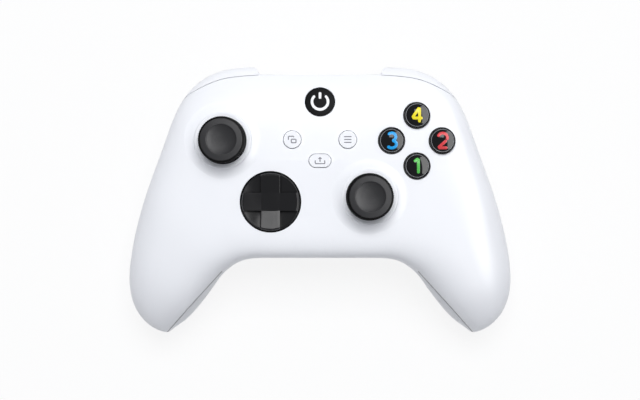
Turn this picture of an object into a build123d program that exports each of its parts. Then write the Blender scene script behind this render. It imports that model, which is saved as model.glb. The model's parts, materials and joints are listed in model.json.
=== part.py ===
from build123d import *
import math
import os

# A two-handed game controller, in millimetres. X runs to the player's right, Y away from the player
# and Z up out of the face. The controller rests on Z = 0 with its face level, and the origin lies
# below the middle of its outline.

# Casing, whole
WIDTH = 152.4
DEPTH = 105.6
FACE_HEIGHT = 45.0
FRONT_WALL = 2.2
REAR_WALL = 2.9
SKIN_WALL = 1.4
SKIN_GAP = 0.1
SEAM_GAP = 0.3
PARTING_GAP = 0.2
OVERRUN = 40.0

# One row for each section of the casing, from the middle out to the end of a grip. A section is an
# upright slice from an outer to an inner point of the plan. The columns are outer X, outer Y, inner
# X and inner Y, then the heights of the top, the bottom and the widest points outside and inside,
# then the exponents of the four quarter curves and where the top and the bottom lie between the
# outer and the inner point. X is a share of half the width, Y of the depth, heights of the face's.
SECTION_SHARES = (
    (0.000, 0.499, 0.000, -0.209, 1.000, -0.012, 0.60, 0.50, 3.2, 7.0, 3.4, 4.0, 0.62, 0.60),
    (0.200, 0.501, 0.130, -0.209, 1.000, -0.012, 0.60, 0.50, 3.2, 7.0, 3.4, 4.0, 0.62, 0.60),
    (0.400, 0.502, 0.255, -0.209, 1.000, -0.006, 0.60, 0.50, 3.2, 7.0, 3.4, 4.0, 0.62, 0.60),
    (0.565, 0.474, 0.345, -0.211, 0.996, 0.045, 0.60, 0.50, 3.2, 6.5, 3.2, 3.6, 0.60, 0.58),
    (0.706, 0.384, 0.410, -0.222, 0.988, 0.160, 0.60, 0.48, 3.2, 6.0, 2.9, 3.0, 0.56, 0.56),
    (0.805, 0.222, 0.465, -0.245, 0.976, 0.195, 0.58, 0.45, 3.0, 5.0, 2.7, 2.7, 0.52, 0.52),
    (0.886, 0.065, 0.520, -0.281, 0.955, 0.135, 0.55, 0.41, 2.8, 4.0, 2.5, 2.5, 0.50, 0.50),
    (0.954, -0.087, 0.582, -0.342, 0.905, 0.045, 0.50, 0.36, 2.5, 3.2, 2.4, 2.4, 0.50, 0.50),
    (0.993, -0.223, 0.646, -0.401, 0.835, -0.002, 0.45, 0.33, 2.4, 2.8, 2.3, 2.3, 0.50, 0.50),
    (0.998, -0.340, 0.706, -0.447, 0.730, 0.010, 0.40, 0.31, 2.3, 2.5, 2.2, 2.2, 0.50, 0.50),
    (0.955, -0.427, 0.752, -0.472, 0.620, 0.070, 0.37, 0.31, 2.2, 2.3, 2.1, 2.1, 0.50, 0.50),
    (0.885, -0.478, 0.785, -0.489, 0.510, 0.165, 0.35, 0.32, 2.1, 2.1, 2.0, 2.0, 0.50, 0.50),
)
TIP_SHARES = (0.812, -0.499, 0.335)
QUARTER_SHARES = (0, 0.07, 0.16, 0.27, 0.38, 0.5, 0.62, 0.74, 0.85, 0.94, 1)
# How far the rear shell stays inside the bumpers at the first sections, as shares of the depth.
RECESS_SHARES = (0.024, 0.026, 0.026, 0.019)
# Where the front shell ends towards the bumpers (X, Y), at the height of the seam.
TOP_SEAM_SHARES = (
    (0, 0.467), (0.31, 0.466), (0.40, 0.461), (0.51, 0.449), (0.60, 0.425), (0.66, 0.408), (0.80, 0.372),
)
TOP_SEAM_HEIGHT = 38.0
SEAM_SLOPE = 0.35
# How high the front and the rear shell meet along the sides (Y, Z), a little below the widest line.
PARTING_SHARES = (
    (0.55, 0.57), (0.40, 0.57), (0.19, 0.54), (0, 0.50), (-0.24, 0.43), (-0.36, 0.37), (-0.44, 0.31),
    (-0.52, 0.23),
)
# The inner edge of a grip panel, from the trigger to the hollow between the grips (X, Y).
GRIP_EDGE_SHARES = (
    (0.90, 0.37), (0.74, 0.31), (0.61, 0.16), (0.51, -0.02), (0.45, -0.16), (0.41, -0.30),
)

# Sticks
LEFT_STICK = (-37.4, 23.6)
RIGHT_STICK = (19.1, 1.9)
PIVOT_HEIGHT = 37.0
STICK_HOLE_RADIUS = 9.2
COLLAR_WIDTH = 1.9
COLLAR_RISE = 1.9
COLLAR_ROUND = 0.8
COLLAR_FLARE = 1.8
CAP_RADIUS = 8.95
CAP_HEIGHT = 4.2
CAP_TOP = 57.4
CAP_ROUND = 1.1
DISH_RADIUS = 5.8
DISH_DEPTH = 1.5
NECK_RADIUS = 4.0
NECK_FLARE = 1.6
NECK_BOTTOM = 45.0
NECK_FOOT_RADIUS = 3.2
NECK_TAPER = 2.0
SHAFT_RADIUS = 1.5
SHAFT_PLAY = 0.05
SHAFT_BELOW_PIVOT = 4.6
SHAFT_IN_CAP = 2.6

# Stick modules
MODULE_SIDE = 12.6
MODULE_WALL = 0.7
MODULE_TOP = 42.0
MODULE_HOLE_RADIUS = 4.6
GIMBAL_HALF_X = 2.5
GIMBAL_HALF_Y = 4.0
GIMBAL_HALF_Z = 0.8
GIMBAL_WINDOW_X = 1.9
GIMBAL_WINDOW_Y = 3.2
GIMBAL_PIN_RADIUS = 0.9
PIVOT_HALF_X = 1.75
PIVOT_HALF_Y = 2.2
PIVOT_HALF_Z = 0.8
PIVOT_PIN_RADIUS = 0.55
PIVOT_PIN_PLAY = 0.05
YOKE_INNER = 3.4
YOKE_OUTER = 4.2
YOKE_HALF_WIDTH = 2.2
YOKE_SLOT_LENGTH = 6.4
YOKE_SLOT_PLAY = 0.2
SENSOR_LENGTH = 8.6
SENSOR_THICKNESS = 2.4
SENSOR_HEIGHT = 9.4
SENSOR_GAP = 0.1

# D-pad
DPAD_PLACE = (-19.1, 0.0)
DPAD_RADIUS = 11.3
DPAD_HOLE_RADIUS = 11.9
DPAD_FLANGE_RADIUS = 12.8
DPAD_FLANGE_TOP = 41.0
DPAD_FLANGE_WALL = 1.2
DPAD_RIM_TOP = 45.2
DPAD_ARM_WIDTH = 7.4
DPAD_ARM_TOP = 47.0
DPAD_ARM_DIP = 1.5
DPAD_DISH_DIP = 2.6
DPAD_SPRING_HALF = 7.6
DPAD_SPRING_ARM = 2.6
DPAD_SPRING_WALL = 0.6
DPAD_SPRING_TOP = 39.2
DPAD_SPRING_PLAY = 0.1
DPAD_POST_RADIUS = 1.8
DPAD_TIP_RADIUS = 0.9
DPAD_TIP_LENGTH = 0.8

# Face buttons
CLUSTER_PLACE = (37.4, 23.6)
CLUSTER_PITCH = 9.8
FACE_BUTTON_RADIUS = 5.0
FACE_BUTTON_PLAY = 0.3
FACE_BUTTON_TOP = 46.9
FACE_BUTTON_EDGE = 1.5
FACE_FLANGE_RADIUS = 5.7
FACE_FLANGE_WALL = 1.0
FACE_FLANGE_DROP = 3.2
FACE_STEM_RADIUS = 3.0
FACE_STEM_BOTTOM = 34.4
MEMBRANE_WALL = 0.8
MEMBRANE_MARGIN = 3.7
DOME_RADIUS = 3.0
DOME_HEIGHT = 1.6

# Small buttons
VIEW_PLACE = (10.7, 24.0)
VIEW_RADIUS = 3.4
VIEW_PLAY = 0.2
VIEW_RISE = 0.7
SHARE_PLACE = (0.0, 15.85)
SHARE_LENGTH = 8.5
SHARE_WIDTH = 5.15
SMALL_FLANGE = 0.7
SMALL_FLANGE_WALL = 0.9
SMALL_FLANGE_DROP = 1.0
SMALL_STEM_RADIUS = 1.2
SMALL_STEM_BOTTOM = 31.3
GUIDE_PLACE_Y = 38.75
GUIDE_SURFACE = 42.95
GUIDE_TILT = 13.0
GUIDE_RADIUS = 5.72
GUIDE_PLAY = 0.2
GUIDE_RISE = 0.6
GUIDE_DOME = 0.5
GUIDE_BODY = 4.0
GUIDE_FLANGE_WALL = 1.0
GUIDE_FLANGE_WIDTH = 0.9
LIGHT_RING_WIDTH = 1.6
LIGHT_RING_WALL = 1.2
LIGHT_RING_GAP = 0.6
LIGHT_LEG_NEAR = 6.6
LIGHT_LEG_INNER = 2.4
LIGHT_LEG_OUTER = 4.0

# Centre plate, bumpers and triggers
BRIDGE_HALF = 23.8
BRIDGE_BOTTOM = 16.4
BRIDGE_DEPTH = 8.0
BUMPER_GAP = 0.3
BUMPER_END = 60.0
BUMPER_BOTTOM = 27.6
POCKET_INNER = 24.4
POCKET_OUTER = 50.4
POCKET_BACK = 34.0
POCKET_WALL = 1.4
TRIGGER_PIVOT = (39.0, 22.4)
TRIGGER_PIN_RADIUS = 1.1
TRIGGER_PIN_PLAY = 0.06
TRIGGER_BARREL_RADIUS = 2.5
TRIGGER_INNER = 24.8
TRIGGER_SPRING_LENGTH = 3.0
TRIGGER_SPRING_WALL = 0.9
TRIGGER_RIB = 1.8
TRIGGER_OUTER_RIB = 44.0
TRIGGER_ARM_WALL = 1.7
# The finger side and the hidden side of a trigger, from the top to the lip, as offsets from the pivot
# in shares of the trigger's reach.
TRIGGER_REACH = 20.0
TRIGGER_FINGER_SHARES = ((0.55, 0.14), (0.492, -0.15), (0.50, -0.45), (0.585, -0.70), (0.695, -0.89))
TRIGGER_HIDDEN_SHARES = ((0.63, -0.945), (0.455, -0.75), (0.355, -0.47), (0.34, -0.16), (0.36, 0.14))
# How a trigger bends back towards its outer end: X between its ends, and the step back over the reach.
TRIGGER_BEND_SHARES = (
    (0, 0), (0.25, 0), (0.45, 0.038), (0.61, 0.09), (0.77, 0.195), (0.92, 0.325), (1, 0.395),
)
# How far the ribs reach behind the pivot and down the blade, as shares of the reach.
TRIGGER_RIB_SHARE = 0.42
TRIGGER_RIB_DROP_SHARE = 0.6
TRIGGER_OUTER = 49.7
PAIR_PLACE = (-12.5, 24.0)
PAIR_RADIUS = 2.1
PAIR_PLAY = 0.15
PAIR_FLANGE = 0.8
PAIR_FLANGE_WALL = 0.8

# Batteries
DOOR_HALF = 29.5
DOOR_NEAR = -11.0
DOOR_FAR = 25.2
DOOR_CORNER = 5.0
DOOR_GAP = 0.3
CELL_RADIUS = 7.2
CELL_LENGTH = 49.3
CELL_NIPPLE_RADIUS = 2.7
CELL_NIPPLE_LENGTH = 1.2
CELL_HEIGHT = 10.3
CELL_GAP = 0.6
CELL_ROW_Y = 7.1
TRAY_WALL = 1.1
TRAY_CLEARANCE = 0.35
TRAY_BOTTOM = 2.7
TRAY_FLANGE = 2.6
TRAY_SCREW_HOLE = 1.3
CONTACT_WALL = 0.4
CONTACT_HEIGHT = 9.0
CONTACT_WIDTH = 8.0
CONTACT_ROOM = 1.8
CONTACT_GAP = 0.05
CONTACT_STUD_RADIUS = 2.8

# Boards, frame and what is on them
REAR_BOARD_BOTTOM = 19.2
BOARD_WALL = 1.6
REAR_BOARD_HALF = 29.6
REAR_BOARD_NEAR = -14.0
REAR_BOARD_FAR = 32.0
REAR_TONGUE_HALF = 20.0
REAR_TONGUE_FAR = 46.2
FRAME_BOTTOM = 23.4
FRAME_WALL = 1.4
FRAME_HALF = 45.0
FRAME_NEAR = -7.0
FRAME_FAR = 32.0
FRAME_POST_RADIUS = 2.0
FRAME_POST_PLACES = ((-24.0, 28.0), (24.0, 28.0), (-24.0, -4.0), (24.0, -4.0))
FRONT_BOARD_BOTTOM = 28.9
FRONT_BOARD_HALF = 51.0
FRONT_BOARD_NEAR = -14.5
FRONT_BOARD_FAR = 38.0
BOARD_LINK_PLACE = (0.0, -2.0)
BOARD_LINK_LENGTH = 14.0
BOARD_LINK_WIDTH = 4.0
BOARD_LINK_GAP = 0.2
USB_WIDTH = 8.9
USB_HEIGHT = 3.2
USB_LENGTH = 7.4
USB_WALL = 0.3
USB_TONGUE_WALL = 0.7
USB_TONGUE_WIDTH = 6.6
USB_PLAY = 0.25
USB_TONGUE_STEP = 1.5
OUTER_STEP = 2.9
JACK_PLACE = 14.0
JACK_HEIGHT = 25.9
JACK_BORE_RADIUS = 1.8
JACK_NOSE_RADIUS = 3.0
JACK_NOSE_PLAY = 0.2
JACK_BODY_HALF = 2.9
JACK_NEAR = -21.6
JACK_NOSE_LENGTH = 3.4
JACK_LENGTH = 14.0
PORT_WIDTH = 15.0
PORT_HEIGHT = 5.0
PORT_LENGTH = 9.0
PORT_WALL = 0.8
PORT_PLAY = 0.2
PORT_CONTACTS = 5
PORT_CONTACT_RADIUS = 0.4
PORT_CONTACT_PITCH = 2.2

# Rumble motors
RUMBLE_PLACE = (59.0, 17.2)
RUMBLE_FAR = -4.0
RUMBLE_NEAR = -16.0
RUMBLE_RADIUS = 6.0
RUMBLE_SHAFT_RADIUS = 1.0
RUMBLE_WEIGHT_GAP = 1.0
LEFT_WEIGHT_RADIUS = 8.6
LEFT_WEIGHT_LENGTH = 8.0
RIGHT_WEIGHT_RADIUS = 8.0
RIGHT_WEIGHT_LENGTH = 5.0
WEIGHT_HUB_RADIUS = 2.2
CRADLE_WALL = 1.2
CRADLE_GAP = 0.1
CRADLE_DEPTH = 6.0
CRADLE_LENGTH = 9.0
PULSE_PLACE = (26.8, 17.9)
PULSE_INNER = 33.5
PULSE_OUTER = 42.0
PULSE_RADIUS = 3.9
PULSE_SHAFT_RADIUS = 0.6
PULSE_WEIGHT_RADIUS = 3.6
PULSE_WEIGHT_LENGTH = 3.0
PULSE_WEIGHT_GAP = 0.8
PULSE_HUB_RADIUS = 1.3

# Casing screws
# Each row: X, Y, the height that the head bears on, and the lower end of the boss.
SCREWS = (
    (-54.5, 19.0, 19.0, 24.5),
    (54.5, 19.0, 19.0, 24.5),
    (-64.5, -36.0, 12.0, 17.9),
    (64.5, -36.0, 12.0, 17.9),
    (0.0, 7.0, 17.9, 25.1),
)
REAR_SCREWS = 4
SCREW_RADIUS = 1.0
SCREW_PLAY = 0.1
SCREW_HEAD_RADIUS = 2.0
SCREW_HEAD_HEIGHT = 1.4
SCREW_LENGTH = 12.0
BOSS_RADIUS = 2.6
SCREW_HEAD_GAP = 0.05


def block(x, y, z):
    """A box between the two ends given for each axis."""
    size = Vector(x[1] - x[0], y[1] - y[0], z[1] - z[0])
    middle = Vector((x[0] + x[1]) / 2, (y[0] + y[1]) / 2, (z[0] + z[1]) / 2)
    return Pos(middle) * Box(size.X, size.Y, size.Z)


def rod_z(place, z, radius):
    """An upright cylinder at an X and Y."""
    middle = (z[0] + z[1]) / 2
    return Pos(place[0], place[1], middle) * Cylinder(radius, z[1] - z[0])


def rod_y(place, y, radius):
    """A cylinder along Y at an X and Z."""
    middle = (y[0] + y[1]) / 2
    return Pos(place[0], middle, place[1]) * Rot(90, 0, 0) * Cylinder(radius, y[1] - y[0])


def rod_x(place, x, radius):
    """A cylinder along X at a Y and Z."""
    middle = (x[0] + x[1]) / 2
    return Pos(middle, place[0], place[1]) * Rot(0, 90, 0) * Cylinder(radius, x[1] - x[0])


def turned(points, place=(0, 0)):
    """The outline of radius and height points, turned about an upright axis at an X and Y."""
    outline = Wire.make_polygon([Vector(r, 0, z) for r, z in points])
    return Pos(place[0], place[1], 0) * Solid.revolve(Face(outline), 360, Axis.Z)


def other_side(piece):
    """The same piece on the left."""
    return mirror(piece, about=Plane.YZ)


def both_sides(piece):
    return [other_side(piece), piece]


def quarter(start, across, width, height, exponent, outward, upward):
    """Points of one quarter of a rounded section, from its widest point to its top or bottom."""
    points = []
    for share in QUARTER_SHARES:
        turn = share * math.pi / 2
        along = width * math.cos(turn) ** (2 / exponent) if share < 1 else 0
        rise = height * math.sin(turn) ** (2 / exponent) if share > 0 else 0
        points.append(start + across * (outward * along) + Vector(0, 0, upward * rise))
    return points


def section(row, recess, side, inset):
    """One closed section of the casing, moved inwards by the inset."""
    outer_x, outer_y, inner_x, inner_y, top, bottom, outer_wide, inner_wide = row[:8]
    top_outer, top_inner, bottom_outer, bottom_inner, apex, nadir = row[8:]
    outer = Vector(side * outer_x * WIDTH / 2, (outer_y - recess) * DEPTH, 0)
    inner = Vector(side * inner_x * WIDTH / 2, inner_y * DEPTH, 0)
    across = (inner - outer).normalized()
    span = (inner - outer).length - 2 * inset
    outer = outer + across * inset
    high = top * FACE_HEIGHT - inset
    low = bottom * FACE_HEIGHT + inset
    wide_out = outer_wide * FACE_HEIGHT
    wide_in = inner_wide * FACE_HEIGHT
    over = outer + across * (apex * span)
    under = outer + across * (nadir * span)
    up = Vector(0, 0, 1)

    def arc(middle, width, wide, height, exponent, outward, upward):
        start = middle + up * wide
        return quarter(start, across, width, height, exponent, outward, upward)

    top_out = arc(over, apex * span, wide_out, high - wide_out, top_outer, -1, 1)
    top_in = arc(over, (1 - apex) * span, wide_in, high - wide_in, top_inner, 1, 1)
    low_in = arc(under, (1 - nadir) * span, wide_in, wide_in - low, bottom_inner, 1, -1)
    low_out = arc(under, nadir * span, wide_out, wide_out - low, bottom_outer, -1, -1)
    edges = [
        Edge.make_spline(top_out, tangents=[up, across]),
        Edge.make_spline(top_in[::-1], tangents=[across, -up]),
        Edge.make_spline(low_in, tangents=[-up, -across]),
        Edge.make_spline(low_out[::-1], tangents=[-across, up]),
    ]
    return Wire(edges)


def casing_form(inset=0, recessed=False):
    """The whole casing as one solid, from grip end to grip end, or the same form further in."""
    rows = SECTION_SHARES if inset == 0 else SECTION_SHARES[:-1]
    recesses = RECESS_SHARES if recessed else ()
    recesses = tuple(recesses) + (0,) * (len(rows) - len(recesses))
    right = [section(row, recess, 1, inset) for row, recess in zip(rows, recesses)]
    left = [section(row, recess, -1, inset) for row, recess in zip(rows, recesses)]
    sections = left[:0:-1] + right
    if inset == 0:
        tip_x, tip_y, tip_z = TIP_SHARES
        ends = [Vertex(side * tip_x * WIDTH / 2, tip_y * DEPTH, tip_z * FACE_HEIGHT) for side in (-1, 1)]
        sections = [ends[0]] + sections + [ends[1]]
    return Solid.make_loft(sections)


def above_parting(gap=0):
    """Everything above the line where the front and the rear shell meet, lifted by the gap."""
    line = [Vector(-WIDTH, y * DEPTH, z * FACE_HEIGHT + gap) for y, z in PARTING_SHARES]
    far = Vector(-WIDTH, DEPTH, line[0].Z)
    near = Vector(-WIDTH, -DEPTH, line[-1].Z)
    lid = Vector(0, 0, 2 * FACE_HEIGHT)
    edges = [
        Edge.make_line(far, line[0]),
        Edge.make_spline(line),
        Edge.make_line(line[-1], near),
        Edge.make_line(near, near + lid),
        Edge.make_line(near + lid, far + lid),
        Edge.make_line(far + lid, far),
    ]
    return Solid.extrude(Face(Wire(edges)), Vector(2 * WIDTH, 0, 0))


def before_top_seam(gap=0):
    """Everything on the front shell's side of the sloping seam to the bumpers."""
    right = [Vector(x * WIDTH / 2, y * DEPTH + gap, TOP_SEAM_HEIGHT) for x, y in TOP_SEAM_SHARES]
    left = [Vector(-point.X, point.Y, point.Z) for point in right[:0:-1]]
    line = left + right
    corner = Vector(WIDTH, right[-1].Y, TOP_SEAM_HEIGHT)
    near = Vector(WIDTH, -DEPTH * 2, TOP_SEAM_HEIGHT)
    edges = [
        Edge.make_spline(line),
        Edge.make_line(line[-1], corner),
        Edge.make_line(corner, near),
        Edge.make_line(near, Vector(-near.X, near.Y, near.Z)),
        Edge.make_line(Vector(-near.X, near.Y, near.Z), Vector(-corner.X, corner.Y, corner.Z)),
        Edge.make_line(Vector(-corner.X, corner.Y, corner.Z), line[0]),
    ]
    slope = Vector(0, OVERRUN * SEAM_SLOPE, OVERRUN)
    face = Face(Wire(edges)).moved(Location(-slope))
    return Solid.extrude(face, slope * 2)


def grip_zone(gap=0):
    """Everything outside the inner edge of the right grip panel, moved outwards by the gap."""
    low = -OVERRUN
    line = [Vector(x * WIDTH / 2 + gap, y * DEPTH, low) for x, y in GRIP_EDGE_SHARES]
    far = Vector(WIDTH, line[0].Y, low)
    near = Vector(WIDTH, -DEPTH, low)
    inner = Vector(line[-1].X, -DEPTH, low)
    edges = [
        Edge.make_spline(line),
        Edge.make_line(line[-1], inner),
        Edge.make_line(inner, near),
        Edge.make_line(near, far),
        Edge.make_line(far, line[0]),
    ]
    return Solid.extrude(Face(Wire(edges)), Vector(0, 0, 2 * OVERRUN + FACE_HEIGHT))


def face_button_places():
    x, y = CLUSTER_PLACE
    return {
        "bottom": (x, y - CLUSTER_PITCH),
        "right": (x + CLUSTER_PITCH, y),
        "left": (x - CLUSTER_PITCH, y),
        "top": (x, y + CLUSTER_PITCH),
    }


def guide_frame():
    """The guide button's own frame: its axis leans with the face's far edge."""
    return Pos(0, GUIDE_PLACE_Y, GUIDE_SURFACE) * Rot(-GUIDE_TILT, 0, 0)


def share_form(margin, low, high):
    """The share button's outline, made wider by the margin, between two heights."""
    width = SHARE_WIDTH + 2 * margin
    length = SHARE_LENGTH + 2 * margin
    outline = SlotOverall(length, width)
    return Pos(SHARE_PLACE[0], SHARE_PLACE[1], low) * extrude(outline, high - low)


def door_prism(margin=0):
    width = 2 * (DOOR_HALF + margin)
    length = DOOR_FAR - DOOR_NEAR + 2 * margin
    outline = RectangleRounded(width, length, DOOR_CORNER + margin)
    middle = (DOOR_FAR + DOOR_NEAR) / 2
    return Pos(0, middle, -OVERRUN) * extrude(outline, OVERRUN + CELL_RADIUS)


def usb_slot(margin, y):
    """The connector's outline, made wider by the margin, along Y."""
    width = USB_WIDTH + 2 * margin
    height = USB_HEIGHT + 2 * margin
    outline = Pos(0, y[1], usb_height()) * Rot(90, 0, 0) * SlotOverall(width, height)
    return extrude(outline, y[1] - y[0])


def usb_height():
    return REAR_BOARD_BOTTOM + BOARD_WALL + USB_HEIGHT / 2


def port_block(margin, y):
    half = PORT_WIDTH / 2 + margin
    low = JACK_HEIGHT - PORT_HEIGHT / 2 - margin
    high = JACK_HEIGHT + PORT_HEIGHT / 2 + margin
    return block((-half, half), y, (low, high))


def collar_foot(form, place, radius):
    """The edge where a collar meets the face, without the cylinder's own upright seam."""
    feet = []
    for edge in form.edges():
        points = [edge.position_at(0), edge.position_at(0.5)]
        spread = [abs(math.hypot(p.X - place[0], p.Y - place[1]) - radius) for p in points]
        level = abs(points[0].Z - points[1].Z) < COLLAR_RISE or edge.length > radius
        low = points[1].Z < FACE_HEIGHT + COLLAR_RISE / 2
        if max(spread) < COLLAR_ROUND / 4 and low and level and edge.geom_type != GeomType.LINE:
            feet.append(edge)
    return feet


def face_with_collars():
    """The casing's outer form with a raised ring round each stick."""
    form = casing_form()
    radius = STICK_HOLE_RADIUS + COLLAR_WIDTH
    top = FACE_HEIGHT + COLLAR_RISE
    for place in (LEFT_STICK, RIGHT_STICK):
        form = form + rod_z(place, (PIVOT_HEIGHT, top), radius)
        form = form.fillet(COLLAR_FLARE, collar_foot(form, place, radius))
    circles = form.edges().filter_by(GeomType.CIRCLE)
    rims = [edge for edge in circles if abs(edge.position_at(0).Z - top) < SKIN_GAP]
    return form.fillet(COLLAR_ROUND, rims)


def front_shell(form):
    """The face with its collars, holes and screw bosses."""
    top = FACE_HEIGHT + OVERRUN
    shell = (form & above_parting(PARTING_GAP / 2)) & before_top_seam(-SEAM_GAP / 2)
    shell = shell - casing_form(FRONT_WALL)
    bosses = [rod_z((x, y), (low, FACE_HEIGHT), BOSS_RADIUS) & form for x, y, seat, low in SCREWS]
    shell = shell + bosses
    holes = [
        rod_z((x, y), (seat, seat + SCREW_LENGTH + SCREW_PLAY), SCREW_RADIUS + SCREW_PLAY)
        for x, y, seat, low in SCREWS
    ]
    holes += [rod_z(place, (PIVOT_HEIGHT, top), STICK_HOLE_RADIUS) for place in (LEFT_STICK, RIGHT_STICK)]
    holes.append(rod_z(DPAD_PLACE, (PIVOT_HEIGHT, top), DPAD_HOLE_RADIUS))
    cap_hole = FACE_BUTTON_RADIUS + FACE_BUTTON_PLAY
    holes += [rod_z(place, (PIVOT_HEIGHT, top), cap_hole) for place in face_button_places().values()]
    for side in (-1, 1):
        place = (side * VIEW_PLACE[0], VIEW_PLACE[1])
        holes.append(rod_z(place, (PIVOT_HEIGHT, top), VIEW_RADIUS + VIEW_PLAY))
    holes.append(share_form(VIEW_PLAY, PIVOT_HEIGHT, top))
    holes.append(guide_frame() * Cylinder(GUIDE_RADIUS + GUIDE_PLAY, GUIDE_BODY * 2))
    deep = (-OVERRUN, JACK_NEAR + JACK_NOSE_LENGTH)
    holes.append(rod_y((JACK_PLACE, JACK_HEIGHT), deep, JACK_NOSE_RADIUS + JACK_NOSE_PLAY))
    holes.append(port_block(PORT_PLAY, deep))
    return shell - holes


def above_rest(form):
    """The form without what would lie below the surface it rests on."""
    return form - block((-WIDTH, WIDTH), (-DEPTH, DEPTH), (-OVERRUN, 0))


def pocket(margin, side=1):
    """The space round a trigger, made wider by the margin."""
    x = (POCKET_INNER - margin, POCKET_OUTER + margin)
    space = block(x, (POCKET_BACK - margin, POCKET_BACK + OVERRUN), (-OVERRUN, BUMPER_BOTTOM + OVERRUN))
    return space if side > 0 else other_side(space)


def rear_shell(form, cavity):
    """The middle of the back, with trigger pockets, battery opening and the beds of the grip panels."""
    parting = above_parting(-PARTING_GAP / 2)
    shell = (form - parting) - cavity
    walls = [(pocket(POCKET_WALL, side) & form) - parting for side in (-1, 1)]
    for x, y, seat, end in SCREWS[:REAR_SCREWS]:
        sleeve = rod_z((x, y), (-OVERRUN, end - PARTING_GAP), BOSS_RADIUS + SCREW_PLAY)
        walls.append((sleeve & form) - parting)
    shell = shell + walls
    bed = casing_form(SKIN_WALL + SKIN_GAP, recessed=True)
    zone = grip_zone(0) - bed
    bay = (-BRIDGE_HALF - BUMPER_GAP, BRIDGE_HALF + BUMPER_GAP)
    cuts = [pocket(0, -1), pocket(0, 1), door_prism(DOOR_GAP)]
    cuts.append(block(bay, (DEPTH / 2 - BRIDGE_DEPTH, DEPTH), (BRIDGE_BOTTOM - BUMPER_GAP, FACE_HEIGHT)))
    cuts += [zone, other_side(zone), trigger_pin_hole(-1), trigger_pin_hole(1)]
    for x, y, seat, end in SCREWS[:REAR_SCREWS]:
        cuts.append(rod_z((x, y), (-OVERRUN, end), SCREW_RADIUS + SCREW_PLAY))
        cuts.append(rod_z((x, y), (-OVERRUN, seat), SCREW_HEAD_RADIUS + SCREW_PLAY))
    for cut in cuts:
        shell = shell - cut
    return shell


def trigger_pin_hole(side):
    hole = rod_x(
        TRIGGER_PIVOT, (POCKET_INNER - OVERRUN / 2, POCKET_OUTER + POCKET_WALL / 2), TRIGGER_PIN_RADIUS
    )
    hole = hole & block((POCKET_INNER - POCKET_WALL / 2, WIDTH), (-DEPTH, DEPTH), (0, FACE_HEIGHT))
    return hole if side > 0 else other_side(hole)


def grip_panels(form):
    """The two skins round the backs of the grips."""
    skin = form - casing_form(SKIN_WALL, recessed=True)
    skin = (skin - above_parting(-PARTING_GAP / 2)) & grip_zone(SEAM_GAP)
    return both_sides(skin - pocket(POCKET_WALL + SEAM_GAP))


def battery_door(form, cavity):
    return (form & door_prism()) - cavity


def bridge_plate(form, cavity):
    """The plate between the bumpers, open for the charging socket and the pairing button."""
    bay = block((-BRIDGE_HALF, BRIDGE_HALF), (DEPTH / 2 - BRIDGE_DEPTH + BUMPER_GAP, DEPTH),
                (BRIDGE_BOTTOM, FACE_HEIGHT))
    plate = (form & bay) - cavity - before_top_seam(SEAM_GAP / 2)
    y = (DEPTH / 2 - BRIDGE_DEPTH, DEPTH)
    plate = plate - usb_slot(USB_PLAY, y)
    return plate - rod_y(PAIR_PLACE, y, PAIR_RADIUS + PAIR_PLAY)


def bumper(form):
    """The right bumper, a shell that carries on the face's curve past the seam."""
    space = block((BRIDGE_HALF + BUMPER_GAP, BUMPER_END), (0, DEPTH), (BUMPER_BOTTOM, FACE_HEIGHT))
    return (form & space) - casing_form(FRONT_WALL) - before_top_seam(SEAM_GAP / 2)


def trigger_section(x_share, step):
    """One slice across a trigger's blade."""
    x = TRIGGER_INNER + x_share * (TRIGGER_OUTER - TRIGGER_INNER)
    shift = step * TRIGGER_REACH

    def spot(y, z):
        pivot_y, pivot_z = TRIGGER_PIVOT
        return Vector(x, pivot_y + y * TRIGGER_REACH - shift, pivot_z + z * TRIGGER_REACH)

    finger = [spot(y, z) for y, z in TRIGGER_FINGER_SHARES]
    hidden = [spot(y, z) for y, z in TRIGGER_HIDDEN_SHARES]
    edges = [
        Edge.make_spline(finger),
        Edge.make_line(finger[-1], hidden[0]),
        Edge.make_spline(hidden),
        Edge.make_line(hidden[-1], finger[0]),
    ]
    return Wire(edges)


def trigger():
    """The right trigger: a bent blade, two ribs, a top arm and the barrel round its pin."""
    blade = Solid.make_loft([trigger_section(x, step) for x, step in TRIGGER_BEND_SHARES])
    pivot_y, pivot_z = TRIGGER_PIVOT
    barrel_start = TRIGGER_INNER + TRIGGER_SPRING_LENGTH
    barrel = rod_x(TRIGGER_PIVOT, (barrel_start, TRIGGER_OUTER_RIB + TRIGGER_RIB), TRIGGER_BARREL_RADIUS)
    reach_y = pivot_y + TRIGGER_REACH * TRIGGER_RIB_SHARE
    ribs = []
    for start, end_y in ((barrel_start, reach_y), (TRIGGER_OUTER_RIB, reach_y - TRIGGER_BARREL_RADIUS)):
        outline = [
            Vector(start, pivot_y, pivot_z + TRIGGER_BARREL_RADIUS),
            Vector(start, end_y, pivot_z + TRIGGER_BARREL_RADIUS),
            Vector(start, end_y, pivot_z - TRIGGER_REACH * TRIGGER_RIB_DROP_SHARE),
            Vector(start, pivot_y, pivot_z - TRIGGER_BARREL_RADIUS),
        ]
        ribs.append(Solid.extrude(Face(Wire.make_polygon(outline)), Vector(TRIGGER_RIB, 0, 0)))
    top = pivot_z + TRIGGER_BARREL_RADIUS
    arm = block((barrel_start, TRIGGER_OUTER_RIB), (pivot_y, reach_y - TRIGGER_BARREL_RADIUS),
                (top - TRIGGER_ARM_WALL, top))
    body = blade + barrel + arm
    for rib in ribs:
        body = body + rib
    return body - rod_x(TRIGGER_PIVOT, (0, WIDTH), TRIGGER_PIN_RADIUS + TRIGGER_PIN_PLAY)


def trigger_pin():
    return rod_x(TRIGGER_PIVOT, (POCKET_INNER - POCKET_WALL / 2, POCKET_OUTER + POCKET_WALL / 2),
                 TRIGGER_PIN_RADIUS)


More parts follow.
